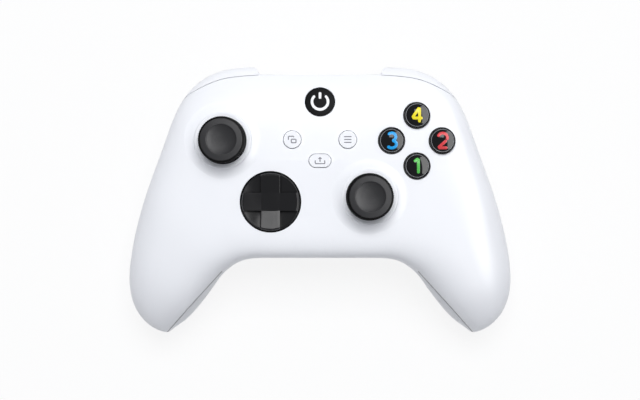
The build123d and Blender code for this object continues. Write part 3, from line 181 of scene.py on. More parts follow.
def joined(name, meshes, sharp_angle):
    """One object from several meshes, faces outward, with edges sharper than the angle kept crisp."""
    work = bmesh.new()
    for mesh in meshes:
        work.from_mesh(mesh)
        bpy.data.meshes.remove(mesh)
    bmesh.ops.remove_doubles(work, verts=work.verts, dist=MM / 1000)
    bmesh.ops.recalc_face_normals(work, faces=work.faces)
    whole = bpy.data.meshes.new(name)
    work.to_mesh(whole)
    work.free()
    whole.polygons.foreach_set("use_smooth", np.ones(len(whole.polygons), dtype=bool))
    whole.set_sharp_from_angle(angle=sharp_angle)
    piece = bpy.data.objects.new(name, whole)
    bpy.context.scene.collection.objects.link(piece)
    return piece


def turned(name, profile, place, around=192, ribs=0, rib_depth=0.0, rib_span=(0.0, 0.0)):
    """A profile of radius and height turned about an upright axis.

    x = X + r cos a, y = Y + r sin a, z = h, with r = profile radius - depth (1 + cos(ribs a)) / 2
    between the two heights of the rib span.
    """
    radius = profile[:, 0][:, None]
    height = profile[:, 1][:, None]
    angle = np.linspace(0, 2 * math.pi, around, endpoint=False)[None, :]
    if ribs:
        low, high = rib_span
        inside = np.clip(np.minimum(height - low, high - height) / 0.2, 0, 1)
        radius = radius - inside * rib_depth * (1 + np.cos(ribs * angle)) / 2
    rows = np.stack(
        [place[0] + radius * np.cos(angle), place[1] + radius * np.sin(angle), height + 0 * angle], axis=-1
    )
    return ring_mesh(name, rows)


def face_height(place, inner, outer):
    """The face's height near a place: z = a + b u + c v + d u^2 + e u v + f v^2.

    The six factors come from the front shell's own points between two radii, by least squares.
    """
    mesh = frame["nodes"]["front_shell"].data
    points = np.empty(len(mesh.vertices) * 3)
    mesh.vertices.foreach_get("co", points)
    points = points.reshape(-1, 3) / MM
    u, v = points[:, 0] - place[0], points[:, 1] - place[1]
    far = np.hypot(u, v)
    chosen = (far > inner) & (far < outer) & (points[:, 2] > 43.4)
    u, v, z = u[chosen], v[chosen], points[chosen, 2]
    terms = np.stack([np.ones_like(u), u, v, u * u, u * v, v * v], axis=-1)
    factors = np.linalg.lstsq(terms, z, rcond=None)[0]

    def height(x, y):
        u, v = x - place[0], y - place[1]
        return np.stack([np.ones_like(u), u, v, u * u, u * v, v * v], axis=-1) @ factors

    return height


def arc_points(middle, radii, start, end, steps):
    """Points of part of an ellipse: middle + (rx cos a, ry sin a), the angle in degrees."""
    angle = np.radians(np.linspace(start, end, steps))
    return np.stack([middle[0] + radii[0] * np.cos(angle), middle[1] + radii[1] * np.sin(angle)], axis=-1)


def spaced(points, step):
    """The same path with a point at every step of its length."""
    points = np.asarray(points, dtype=float)
    lengths = np.linalg.norm(np.diff(points, axis=0), axis=1)
    along = np.concatenate([[0], np.cumsum(lengths)])
    count = max(int(along[-1] / step) + 1, 8)
    at = np.linspace(0, along[-1], count)
    return np.stack([np.interp(at, along, points[:, 0]), np.interp(at, along, points[:, 1])], axis=-1), at


def stroke(name, points, width, thickness, lie):
    """A flat rounded band along a path, laid on a surface.

    Across the path the band is an ellipse, x + n w cos b with height t sin b above the surface
    lie(x, y), and w falls to zero in a half circle at both ends.
    """
    path, at = spaced(points, width / 5)
    half = width / 2
    ends = np.minimum(at, at[-1] - at)
    reach = np.clip(ends / half, 0, 1)
    wide = half * np.sqrt(np.clip(1 - (1 - reach) ** 2, 0.0004, 1))
    tangent = np.gradient(path, axis=0)
    tangent /= np.linalg.norm(tangent, axis=1)[:, None]
    normal = np.stack([-tangent[:, 1], tangent[:, 0]], axis=-1)
    turn = -np.linspace(0, 2 * math.pi, 16, endpoint=False)
    across = wide[:, None] * np.cos(turn)[None, :]
    x = path[:, 0][:, None] + normal[:, 0][:, None] * across
    y = path[:, 1][:, None] + normal[:, 1][:, None] * across
    rows = lie(x, y, thickness * np.sin(turn)[None, :] * (wide / half)[:, None])
    return ring_mesh(name, rows)


def on_plane(height):
    def lie(x, y, lift):
        return np.stack([x, y, height + lift + 0 * x], axis=-1)
    return lie


def on_dome(place, top, ball):
    """The surface of a dome: z = top - R + sqrt(R^2 - dx^2 - dy^2)."""
    def lie(x, y, lift):
        spread = (x - place[0]) ** 2 + (y - place[1]) ** 2
        return np.stack([x, y, top - ball + np.sqrt(ball ** 2 - spread) + lift], axis=-1)
    return lie


def on_guide(x, y, lift):
    """The guide button's dome in its own frame, then leant back about X and moved to its place."""
    high = GUIDE_RISE - GUIDE_SPHERE + np.sqrt(GUIDE_SPHERE ** 2 - x ** 2 - y ** 2) + lift
    lean, rise = math.cos(GUIDE_TILT), math.sin(GUIDE_TILT)
    return np.stack(
        [
            GUIDE_MIDDLE[0] + x,
            GUIDE_MIDDLE[1] + y * lean + high * rise,
            GUIDE_MIDDLE[2] - y * rise + high * lean,
        ],
        axis=-1,
    )


# Finishes

def new_material(name):
    """A material with an object-coordinate input and its shader."""
    material = bpy.data.materials.new(name)
    material.use_nodes = True
    nodes = material.node_tree.nodes
    shader = nodes["Principled BSDF"]
    place = nodes.new("ShaderNodeTexCoord")
    return material, material.node_tree, shader, place.outputs["Object"]


def noise(tree, where, scale, detail=3.0):
    node = tree.nodes.new("ShaderNodeTexNoise")
    node.inputs["Scale"].default_value = scale
    node.inputs["Detail"].default_value = detail
    tree.links.new(where, node.inputs["Vector"])
    return node.outputs["Fac"]


def ranged(tree, value, low, high, start=0.3, end=0.7):
    """The value moved from its own range to another."""
    node = tree.nodes.new("ShaderNodeMapRange")
    node.inputs["From Min"].default_value = start
    node.inputs["From Max"].default_value = end
    node.inputs["To Min"].default_value = low
    node.inputs["To Max"].default_value = high
    tree.links.new(value, node.inputs["Value"])
    return node.outputs["Result"]


def tinted(tree, value, first, second):
    """A colour between two by a value."""
    node = tree.nodes.new("ShaderNodeMix")
    node.data_type = "RGBA"
    node.inputs["A"].default_value = (*first, 1)
    node.inputs["B"].default_value = (*second, 1)
    tree.links.new(value, node.inputs["Factor"])
    return node.outputs["Result"]


def bumped(tree, shader, value, depth, strength=1.0, below=None):
    """A bump of a real depth in millimetres from a value between 0 and 1."""
    node = tree.nodes.new("ShaderNodeBump")
    node.inputs["Strength"].default_value = strength
    node.inputs["Distance"].default_value = depth * MM
    tree.links.new(value, node.inputs["Height"])
    if below is not None:
        tree.links.new(below, node.inputs["Normal"])
    tree.links.new(node.outputs["Normal"], shader.inputs["Normal"])
    return node.outputs["Normal"]


def shade(colour, factor):
    return tuple(min(1.0, channel * factor) for channel in colour)


def moulded(name, colour, roughness, grain, grain_size, variation=0.03, coat=0.0):
    """Moulded plastic: a soft tint variation, uneven gloss and the fine grain of the mould."""
    material, tree, shader, where = new_material(name)
    cloud = noise(tree, where, 25.0)
    tree.links.new(tinted(tree, cloud, shade(colour, 1 - variation), colour), shader.inputs["Base Color"])
    smear = noise(tree, where, 140.0)
    tree.links.new(ranged(tree, smear, roughness - 0.04, roughness + 0.04), shader.inputs["Roughness"])
    bumped(tree, shader, noise(tree, where, 1 / (grain_size * MM), 2.0), grain)
    shader.inputs["Coat Weight"].default_value = coat
    shader.inputs["Coat Roughness"].default_value = 0.04
    return material


def dulled(material, level):
    """The same material with a weaker mirror reflection."""
    material.node_tree.nodes["Principled BSDF"].inputs["Specular IOR Level"].default_value = level
    return material


def dots(tree, where, pitch):
    """Round dots in loose rows: one in their middles and nothing between them."""
    cells = tree.nodes.new("ShaderNodeTexVoronoi")
    cells.inputs["Scale"].default_value = 1 / (pitch * MM)
    cells.inputs["Randomness"].default_value = 0.35
    tree.links.new(where, cells.inputs["Vector"])
    return ranged(tree, cells.outputs["Distance"], 1.0, 0.0, 0.18, 0.42)


def dotted(name, colour, roughness, pitch, depth):
    """The grip finish: moulded plastic covered in small raised dots."""
    material, tree, shader, where = new_material(name)
    dot = dots(tree, where, pitch)
    cloud = noise(tree, where, 30.0)
    tree.links.new(tinted(tree, cloud, shade(colour, 0.97), colour), shader.inputs["Base Color"])
    tree.links.new(ranged(tree, cloud, roughness - 0.05, roughness + 0.05), shader.inputs["Roughness"])
    fine = bumped(tree, shader, noise(tree, where, 6000.0, 2.0), 0.006)
    bumped(tree, shader, dot, depth, 1.0, fine)
    return material


def white_moulded(name, colour):
    """The casing's plastic, fine and even."""
    return moulded(name, colour, 0.4, 0.005, 0.35, 0.01)


def shell_with_grips(name, colour, start, end):
    """Moulded plastic that gives way to the dotted grip finish past a seam on the inside of each grip.

    The seam runs straight from start to end, as (|x|, y) in millimetres, the same on both sides.
    """
    material = white_moulded(name, colour)
    tree = material.node_tree
    shader = tree.nodes["Principled BSDF"]
    where = tree.nodes["Texture Coordinate"].outputs["Object"]
    apart = tree.nodes.new("ShaderNodeSeparateXYZ")
    tree.links.new(where, apart.inputs["Vector"])
    width = math_node(tree, "ABSOLUTE", apart.outputs["X"])
    folded = tree.nodes.new("ShaderNodeCombineXYZ")
    tree.links.new(width, folded.inputs["X"])
    tree.links.new(apart.outputs["Y"], folded.inputs["Y"])
    run = Vector(end) - Vector(start)
    along = run.normalized()
    across = Vector((-along.y, along.x))
    if across.y > 0:
        across.negate()
    reach = [
        math_node(tree, "ADD", dot_node(tree, folded.outputs["Vector"], way), -way.dot(Vector(start)) * MM)
        for way in (across, along)
    ]
    short = ranged(tree, reach[1], 1.0, 0.0, run.length * MM, (run.length + 0.5) * MM)
    past = math_node(tree, "MULTIPLY", ranged(tree, reach[0], 0.0, 1.0, 0.0, 0.05 * MM), short)
    off = math_node(tree, "ABSOLUTE", reach[0])
    line = math_node(tree, "MULTIPLY", ranged(tree, off, 1.0, 0.0, 0.1 * MM, 0.26 * MM), short)
    plain = shader.inputs["Base Color"].links[0].from_socket
    for mask, tint in ((past, 0.9), (line, 0.4)):
        node = tree.nodes.new("ShaderNodeMix")
        node.data_type = "RGBA"
        node.inputs["B"].default_value = (*shade(colour, tint), 1)
        tree.links.new(mask, node.inputs["Factor"])
        tree.links.new(plain, node.inputs["A"])
        plain = node.outputs["Result"]
    tree.links.new(plain, shader.inputs["Base Color"])
    dot = math_node(tree, "MULTIPLY", dots(tree, where, DOT_PITCH), past)
    fine = shader.inputs["Normal"].links[0].from_socket
    raised = bumped(tree, shader, dot, DOT_HEIGHT, 1.0, fine)
    bumped(tree, shader, math_node(tree, "SUBTRACT", 1.0, line), 0.2, 1.0, raised)
    return material


def math_node(tree, operation, first, second=None):
    """One sum of two values, each a socket or a number."""
    node = tree.nodes.new("ShaderNodeMath")
    node.operation = operation
    for socket, value in zip(node.inputs, (first, second)):
        if isinstance(value, (int, float)):
            socket.default_value = value
        elif value is not None:
            tree.links.new(value, socket)
    return node.outputs["Value"]


def dot_node(tree, vector, way):
    node = tree.nodes.new("ShaderNodeVectorMath")
    node.operation = "DOT_PRODUCT"
    tree.links.new(vector, node.inputs[0])
    node.inputs[1].default_value = (way.x, way.y, 0)
    return node.outputs["Value"]


def brushed(name, colour, roughness, stretch, metallic=1.0):
    """Metal with fine drawn lines along one axis."""
    material, tree, shader, where = new_material(name)
    mapping = tree.nodes.new("ShaderNodeMapping")
    mapping.inputs["Scale"].default_value = stretch
    tree.links.new(where, mapping.inputs["Vector"])
    lines = noise(tree, mapping.outputs["Vector"], 900.0, 4.0)
    tree.links.new(tinted(tree, lines, shade(colour, 0.85), colour), shader.inputs["Base Color"])
    tree.links.new(ranged(tree, lines, roughness - 0.08, roughness + 0.08), shader.inputs["Roughness"])
    bumped(tree, shader, lines, 0.004)
    shader.inputs["Metallic"].default_value = metallic
    return material


def circuit_board(name):
    """Green lacquer with darker copper areas below it and a fine weave."""
    material, tree, shader, where = new_material(name)
    cells = tree.nodes.new("ShaderNodeTexVoronoi")
    cells.distance = "MANHATTAN"
    cells.inputs["Scale"].default_value = 260.0
    tree.links.new(where, cells.inputs["Vector"])
    tracks = ranged(tree, cells.outputs["Distance"], 0.0, 1.0, 0.42, 0.5)
    tree.links.new(tinted(tree, tracks, (0.02, 0.13, 0.05), (0.03, 0.2, 0.08)), shader.inputs["Base Color"])
    bumped(tree, shader, tracks, 0.03)
    shader.inputs["Roughness"].default_value = 0.3
    return material


def clear_plastic(name):
    material, tree, shader, where = new_material(name)
    smear = noise(tree, where, 400.0)
    tree.links.new(ranged(tree, smear, 0.08, 0.2), shader.inputs["Roughness"])
    shader.inputs["Base Color"].default_value = (0.9, 0.92, 0.95, 1)
    shader.inputs["Transmission Weight"].default_value = 0.8
    shader.inputs["IOR"].default_value = 1.49
    return material


def painted(name, colour, roughness=0.35):
    """Paint or a second shot of plastic: one colour with a slight mottle."""
    material, tree, shader, where = new_material(name)
    mottle = noise(tree, where, 2200.0)
    tree.links.new(tinted(tree, mottle, shade(colour, 0.94), colour), shader.inputs["Base Color"])
    tree.links.new(ranged(tree, mottle, roughness - 0.05, roughness + 0.05), shader.inputs["Roughness"])
    return material


def finish_nodes(slot, material):
    """Gives the material to every CAD node of a slot."""
    for part in frame["record"]["subparts"]:
        if part["material_slot"] == slot:
            wear_material(frame["nodes"][part["node"]], material)


def wear_material(piece, material):
    if not piece.material_slots:
        piece.data.materials.append(material)
    for holder in piece.material_slots:
        holder.material = material


def settle(piece, material, body, replaced=()):
    """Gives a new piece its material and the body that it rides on."""
    wear_material(piece, material)
    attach(piece, body)
    if replaced:
        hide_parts(*replaced)
    return piece


def wear_second(piece, material, place, chosen):
    """Gives a second material to the faces that chosen(radius from place, height) picks."""
    piece.data.materials.append(material)
    for face in piece.data.polygons:
        middle = face.center / MM
        off = math.hypot(middle.x - place[0], middle.y - place[1])
        face.material_index = int(chosen(off, middle.z))


# Settings

def colour_setting(name, description, default):
    return bpy.props.FloatVectorProperty(
        name=name, description=description, default=default, subtype="COLOR", size=3, min=0.0, max=1.0
    )


def length_setting(name, description, default):
    return bpy.props.FloatProperty(
        name=name, description=description, default=default * MM, unit="LENGTH", min=0.0, precision=5
    )


class ControllerColours(bpy.types.PropertyGroup):
    casing: colour_setting("Casing", "Colour of the shells, bumpers and triggers", (0.885, 0.9, 0.94))
    controls: colour_setting("Controls", "Colour of the thumb sticks and the pad", (0.021, 0.021, 0.023))
    gloss: colour_setting("Gloss", "Colour of the face buttons and the guide button", (0.006, 0.006, 0.007))
    symbols: colour_setting("Symbols", "Colour of the signs on the small buttons", (0.16, 0.16, 0.19))
    number_bottom: colour_setting("Bottom number", "Colour of the bottom button's number", (0.09, 0.52, 0.08))
    number_right: colour_setting("Right number", "Colour of the right button's number", (0.72, 0.06, 0.07))
    number_left: colour_setting("Left number", "Colour of the left button's number", (0.01, 0.36, 0.83))
    number_top: colour_setting("Top number", "Colour of the top button's number", (0.9, 0.76, 0.02))


class ControllerSizes(bpy.types.PropertyGroup):
    stick_radius: length_setting("Stick radius", "Radius of a thumb stick's disc", 8.95)
    dish_radius: length_setting("Dish radius", "Radius of the dish on a thumb stick", 5.5)
    dish_depth: length_setting("Dish depth", "Depth of the dish on a thumb stick", 1.12)
    collar_reach: length_setting("Collar reach", "Radius where a stick's ring meets the face", 15.2)
    number_height: length_setting("Number height", "Height of the numbers on the face buttons", 5.9)
    number_width: length_setting("Number width", "Width of the numbers on the face buttons", 4.3)
    number_stroke: length_setting("Number stroke", "Width of a number's strokes", 1.12)
    sign_stroke: length_setting("Sign stroke", "Width of the lines on the small buttons", 0.36)


def sizes():
    return bpy.context.scene.controller_sizes


def colours():
    return bpy.context.scene.controller_colours


# Pieces

class CONTROLLER_OT_finish_solids(bpy.types.Operator):
    """Give every solid of the controller its finish"""

    bl_idname = "controller.finish_solids"
    bl_label = "Finish the solids"

    def execute(self, context):
        white = tuple(colours().casing)
        black = tuple(colours().controls)
        finish_nodes("white_plastic", white_moulded("white_plastic", white))
        front = shell_with_grips("front_white", white, *GRIP_SEAM)
        wear_material(frame["nodes"]["front_shell"], front)
        finish_nodes("grip_plastic", dotted("grip_plastic", shade(white, 0.985), 0.5, DOT_PITCH, DOT_HEIGHT))
        finish_nodes("black_plastic", moulded("black_plastic", black, 0.45, 0.008, 0.3, 0.15))
        gloss = moulded("gloss_black", tuple(colours().gloss), 0.12, 0.0005, 2.0, 0.2, 1.0)
        finish_nodes("gloss_black", gloss)
        satin = dulled(moulded("guide_black", tuple(colours().gloss), 0.5, 0.001, 0.5, 0.2), SATIN_LEVEL)
        wear_material(frame["nodes"]["guide_button"], satin)
        finish_nodes("dark_plastic", moulded("dark_plastic", (0.07, 0.07, 0.075), 0.5, 0.01, 0.4, 0.15))
        finish_nodes("board", circuit_board("circuit_board"))
        finish_nodes("sheet_metal", brushed("sheet_metal", (0.6, 0.6, 0.62), 0.32, (1, 8, 8)))
        finish_nodes("turned_steel", brushed("turned_steel", (0.5, 0.5, 0.52), 0.28, (6, 6, 1)))
        finish_nodes("weight_metal", brushed("weight_metal", (0.34, 0.33, 0.32), 0.55, (1, 1, 1)))
        finish_nodes("contact_metal", brushed("contact_metal", (0.75, 0.66, 0.42), 0.3, (1, 6, 1)))
        finish_nodes("cell_sleeve", painted("cell_sleeve", (0.13, 0.14, 0.16), 0.3))
        finish_nodes("membrane_rubber", moulded("membrane_rubber", (0.3, 0.31, 0.33), 0.7, 0.01, 0.5, 0.1))
        finish_nodes("light_guide", clear_plastic("light_guide"))
        return {"FINISHED"}


class CONTROLLER_OT_bumper_ends(bpy.types.Operator):
    """Round the far inner corner of each bumper"""

    bl_idname = "controller.bumper_ends"
    bl_label = "Bumper ends"

    def execute(self, context):
        """Cuts the corner with planes that touch the arc (x - X)^2 + (y - Y)^2 = r^2 from outside."""
        material = white_moulded("bumper_white", tuple(colours().casing))
        radius = BUMPER_CORNER
        for name, side in (("left_bumper", -1), ("right_bumper", 1)):
            work = bmesh.new()
            work.from_mesh(frame["nodes"][name].data)
            bmesh.ops.remove_doubles(work, verts=work.verts, dist=MM / 1000)
            inner = min(side * vertex.co.x for vertex in work.verts) / MM
            far = max(vertex.co.y for vertex in work.verts if side * vertex.co.x < (inner + 0.5) * MM) / MM
            for angle in np.radians(np.linspace(6, 84, 9)):
                way = Vector((-side * math.cos(angle), math.sin(angle), 0))
                middle = Vector((side * (inner + radius), far - radius, 0))
                cut = bmesh.ops.bisect_plane(
                    work, geom=work.verts[:] + work.edges[:] + work.faces[:], dist=MM / 10000,
                    plane_co=(middle + way * radius) * MM, plane_no=way, clear_outer=True,
                )
                rim = [item for item in cut["geom_cut"] if isinstance(item, bmesh.types.BMEdge)]
                bmesh.ops.triangle_fill(work, use_beauty=True, use_dissolve=False, edges=rim)
            mesh = bpy.data.meshes.new(name)
            work.to_mesh(mesh)
            work.free()
            piece = joined(name + "_shell", [mesh], math.radians(30))
            settle(piece, material, name, [name])
        return {"FINISHED"}


class CONTROLLER_OT_stick_tops(bpy.types.Operator):
    """Make the thumb sticks: a rimmed dish on a ribbed disc, with the neck below it"""

    bl_idname = "controller.stick_tops"
    bl_label = "Thumb sticks"

    def execute(self, context):
        radius = sizes().stick_radius / MM
        dish = sizes().dish_radius / MM
        depth = sizes().dish_depth / MM
        share = np.linspace(0, 1, 22)[1:]
        bowl = np.stack([dish * share, STICK_FACE - depth * (1 - share ** 2.2)], axis=-1)
        lip = arc_points((dish + 0.42, 57.0), (0.42, 0.38), 178, 92, 8)
        rim = radius - 1.05
        land = np.stack([np.linspace(dish + 0.55, rim - 0.2, 8), np.linspace(*STICK_LAND, 8)], axis=-1)
        edge = np.concatenate([
            arc_points((rim - 0.15, 56.86), (0.25, 0.27), 82, 12, 6),
            [(rim + 0.16, 56.5), (rim + 0.3, 56.2), (rim + 0.6, 55.95)],
            arc_points((radius - 0.35, 55.5), (0.35, 0.4), 78, 4, 6),
        ])
        side = np.stack([np.full(14, radius), np.linspace(55.4, 54.25, 14)], axis=-1)
        under = arc_points((radius - 0.95, 54.2), (0.95, 0.95), -2, -88, 8)
        profile = np.concatenate([bowl, lip, land, edge, side, under, STICK_NECK])
        black = moulded("stick_rubber", tuple(colours().controls), 0.48, 0.012, 0.28, 0.12)
        # The shoulder and ribbed side of each stick and everything below its disc are painted five times
        # darker than the top, as painted shade.
        painted_side_shade = shade(tuple(colours().controls), 0.2)
        painted_side_shade = dulled(moulded("stick_side", painted_side_shade, 0.6, 0.012, 0.28, 0.12), SATIN_LEVEL)
        for name, place in STICKS.items():
            mesh = turned(name + "_stick_top", profile, place, 320, 64, 0.16, (54.15, 56.4))
            piece = joined(name + "_stick_top", [mesh], math.radians(38))
            settle(piece, black, name + "_stick", [name + "_stick_cap"])
            wear_second(piece, painted_side_shade, place, lambda off, height: off > rim + 0.08 or height < STICK_SHADE_LOW)
        return {"FINISHED"}


class CONTROLLER_OT_stick_collars(bpy.types.Operator):
    """Make the white rings round the thumb sticks, each a raised band on a shallow flare"""

    bl_idname = "controller.stick_collars"
    bl_label = "Rings round the sticks"

    def execute(self, context):
        """The flare is z = ground(x, y) + rise s^2, with s = (reach - r) / (reach - foot)."""
        material = white_moulded("collar_white", tuple(colours().casing))
        reach = sizes().collar_reach / MM
        band = np.concatenate([
            COLLAR_BORE,
            arc_points((9.87, 46.25), (0.7, 0.7), 172, 90, 7),
            COLLAR_TOP,
            arc_points((10.52, 46.52), (0.5, 0.43), 88, 8, 8),
            COLLAR_SHOULDER,
        ])
        radius = np.concatenate([band[:, 0], np.linspace(COLLAR_FOOT, reach, 26)])
        share = np.clip((reach - radius) / (reach - COLLAR_FOOT), 0, 1)
        angle = np.linspace(0, 2 * math.pi, 192, endpoint=False)
        for name, place in STICKS.items():
            face = face_height(place, reach - 1.5, reach + 1.5)
            x = place[0] + radius[:, None] * np.cos(angle)
            y = place[1] + radius[:, None] * np.sin(angle)
            ground = face(x, y) - 0.03
            height = ground + COLLAR_RISE * (share ** 2.0)[:, None]
            height[:len(band)] = band[:, 1][:, None]
            outer = np.stack([x, y, height], axis=-1)
            inner = outer[::-1].copy()
            inner[:, :, 2] = np.minimum(inner[:, :, 2], ground[::-1]) - 0.7
            mesh = ring_mesh(name + "_stick_collar", np.concatenate([outer, inner]), endless=True)
            piece = joined(name + "_stick_collar", [mesh], math.radians(50))
            settle(piece, material, "casing")
        return {"FINISHED"}


class CONTROLLER_OT_button_caps(bpy.types.Operator):
    """Make the face buttons: a clear-coated dome set in a narrow rim, with the flange and stem below"""

    bl_idname = "controller.button_caps"
    bl_label = "Face buttons"

    def execute(self, context):
        share = np.linspace(0, 1, 26)[1:]
        radius = CAP_DOME * share
        dome = np.stack([radius, DOME_TOP - DOME_RADIUS + np.sqrt(DOME_RADIUS ** 2 - radius ** 2)], axis=-1)
        edge = arc_points((4.34, 45.74), (0.12, 0.15), 170, 10, 8)
        rim = arc_points((4.82, 45.6), (0.18, 0.2), 165, 0, 9)
        profile = np.concatenate([dome, edge, CAP_GROOVE, rim, CAP_BODY])
        gloss = shade(tuple(colours().gloss), 0.6)
        gloss = dulled(moulded("dome_black", gloss, 0.08, 0.0003, 2.0, 0.2, 0.2), GLOSS_LEVEL)
        # A band near each dome's edge is painted light grey as a painted highlight, standing in for the
        # reflection in the clear dome's edge.
        painted_edge_highlight = painted("dome_edge", (0.3, 0.31, 0.33), 0.2)
        for side, place in FACE_BUTTONS.items():
            node = side + "_face_button"
            piece = joined(side + "_button_cap", [turned(node, profile, place, 128)], math.radians(30))
            settle(piece, gloss, node, [node])
            inner, outer = CAP_HIGHLIGHT_BAND
            wear_second(
                piece, painted_edge_highlight, place, lambda off, height: inner < off < outer and height > CAP_HIGHLIGHT_LOW
            )
        return {"FINISHED"}


class CONTROLLER_OT_direction_pad(bpy.types.Operator):
    """Make the direction pad: a faceted cross in a round dish"""

    bl_idname = "controller.direction_pad"
    bl_label = "Direction pad"

    def execute(self, context):
        share = np.linspace(0, 1, 24)[1:]
        bowl = np.stack([PAD_DISH * share, PAD_DISH_LOW + PAD_DISH_DEPTH * share ** 2], axis=-1)
        rim = arc_points((10.98, 44.83), (0.32, 0.32), 120, 0, 8)
        dish = turned("pad_dish", np.concatenate([bowl, rim, PAD_SKIRT]), PAD_PLACE, 192)
        upright = self.bar("pad_upright", *PAD_UPRIGHT, (0, 1))
        level = self.bar("pad_level", *PAD_LEVEL, (1, 0))
        piece = joined("direction_pad", [dish, upright, level], math.radians(9))
        black = shade(tuple(colours().controls), 0.5)
        black = dulled(moulded("pad_black", black, 0.2, 0.002, 0.4, 0.1), GLOSS_LEVEL)
        settle(piece, black, "dpad", ["dpad"])
        return {"FINISHED"}

    def bar(self, name, half, middle, way):
        """One bar of the cross: a rounded section carried across the dish.

        The top lies at the middle height between the crossing's edges, rises evenly to the ends,
        and rounds down to the rim, and the ends follow the circle of the rim.
        """
        edge, crest, stop = PAD_MIDDLE, PAD_CREST, PAD_END
        along = np.concatenate([
            [-stop], np.linspace(-11.0, -crest, 7), np.linspace(-crest + 0.2, -edge, 12),
            np.linspace(-edge + 0.02, edge - 0.02, 9), np.linspace(edge, crest - 0.2, 12),
            np.linspace(crest, 11.0, 7), [stop],
        ])
        rise = np.clip((np.abs(along) - edge) / (crest - edge), 0, 1) * PAD_RISE
        fall = np.clip((np.abs(along) - crest) / (stop - crest), 0, 1)
        top = middle + rise - PAD_ROUND * (1 - np.sqrt(np.clip(1 - fall ** 2, 0, 1)))
        soft = PAD_SOFT
        corner = np.radians(np.linspace(0, 90, 6))
        right = np.stack([half - soft + soft * np.cos(corner), -soft + soft * np.sin(corner)], axis=-1)
        left = right[::-1] * (-1, 1)
        flat = np.stack([np.linspace(half - soft, -half + soft, 9)[1:-1], np.zeros(7)], axis=-1)
        ring = np.concatenate([[(half, -PAD_SIDE)], right, flat, left, [(-half, -PAD_SIDE)]])
        across = ring[:, 0][None, :] + 0 * along[:, None]
        height = top[:, None] + ring[:, 1][None, :]
        height = np.maximum(height, PAD_FLOOR)
        bend = np.sqrt(stop ** 2 - across ** 2) / stop
        forward = along[:, None] * bend
        x = PAD_PLACE[0] + (across if way == (0, 1) else forward)
        y = PAD_PLACE[1] + (forward if way == (0, 1) else across)
        return ring_mesh(name, np.stack([x, y, height], axis=-1))


class CONTROLLER_OT_button_numbers(bpy.types.Operator):
    """Make the coloured numbers on the four face buttons"""

    bl_idname = "controller.button_numbers"
    bl_label = "Button numbers"

    def execute(self, context):
        one = [[(-0.3, 0.26), (0.1, 0.5)], [(0.1, 0.5), (0.1, -0.5)]]
        two_top = arc_points((0, 0.18), (0.42, 0.3), 170, -32, 24)
        two = [two_top, [tuple(two_top[-1]), (-0.42, -0.48)], [(-0.42, -0.48), (0.45, -0.48)]]
        three = [
            arc_points((0, 0.24), (0.36, 0.25), 155, -90, 24),
            arc_points((0, -0.25), (0.42, 0.24), 90, -155, 24),
        ]
        four = [[(0.2, -0.5), (0.2, 0.5)], [(0.2, 0.5), (-0.45, -0.2)], [(-0.45, -0.2), (0.5, -0.2)]]
        numbers = {
            "bottom": ("one", one), "right": ("two", two), "left": ("three", three), "top": ("four", four),
        }
        scale = np.array([sizes().number_width, sizes().number_height]) / MM
        for side, (word, paths) in numbers.items():
            place = FACE_BUTTONS[side]
            lie = on_dome(place, DOME_TOP, DOME_RADIUS)
            meshes = [
                stroke(word, np.asarray(path) * scale + place, sizes().number_stroke / MM, NUMBER_LIFT, lie)
                for path in paths
            ]
            piece = joined("number_" + word, meshes, math.radians(60))
            colour = tuple(getattr(colours(), "number_" + side))
            settle(piece, painted("number_" + word, colour, 0.25), side + "_face_button")
        return {"FINISHED"}


class CONTROLLER_OT_small_signs(bpy.types.Operator):
    """Make the plain signs on the small buttons"""

    bl_idname = "controller.small_signs"
    bl_label = "Signs on the small buttons"

    def execute(self, context):
        lines = [[(-1.45, y), (1.45, y)] for y in (-1.1, 0.0, 1.1)]
        near = [(-0.35, -1.25), (1.45, -1.25), (1.45, 0.1), (-0.35, 0.1), (-0.35, -1.25)]
        far = [(-1.45, -0.15), (-1.45, 1.25), (0.6, 1.25)]
        windows = self.sides(near) + self.sides(far) + [[(0.6, 1.25), (0.6, 0.8)]]
        tray = [(-1.85, 0.15), (-1.85, -1.15), (1.85, -1.15), (1.85, 0.15)]
        arrow = [[(0, -0.45), (0, 1.25)], [(-0.62, 0.65), (0, 1.3)], [(0.62, 0.65), (0, 1.3)]]
        signs = {
            "view": (VIEW_PLACE, windows),
            "menu": (MENU_PLACE, lines),
            "share": (SHARE_PLACE, self.sides(tray) + arrow),
        }
        grey = painted("sign_grey", tuple(colours().symbols), 0.4)
        lie = on_plane(SMALL_TOP)
        for name, (place, paths) in signs.items():
            meshes = [
                stroke(name, np.asarray(path) + place, sizes().sign_stroke / MM, SIGN_LIFT, lie)
                for path in paths
            ]
            piece = joined(name + "_sign", meshes, math.radians(60))
            settle(piece, grey, name + "_button")
        return {"FINISHED"}

    def sides(self, corners):
        """A broken line as its straight sides."""
        return [[start, end] for start, end in zip(corners[:-1], corners[1:])]


class CONTROLLER_OT_guide_sign(bpy.types.Operator):
    """Make the plain standby sign on the guide button"""

    bl_idname = "controller.guide_sign"
    bl_label = "Sign on the guide button"

    def execute(self, context):
        ring = arc_points((0, -0.15), (GUIDE_RING, GUIDE_RING), 128, 412, 60)
        meshes = [
            stroke("guide_arc", ring, GUIDE_STROKE, GUIDE_LIFT, on_guide),
            stroke("guide_bar", [(0, 0.9), (0, 3.75)], GUIDE_STROKE, GUIDE_LIFT, on_guide),
        ]
        piece = joined("guide_sign", meshes, math.radians(60))
        settle(piece, painted("sign_white", (0.86, 0.87, 0.9), 0.3), "guide_button")
        return {"FINISHED"}


# Stage

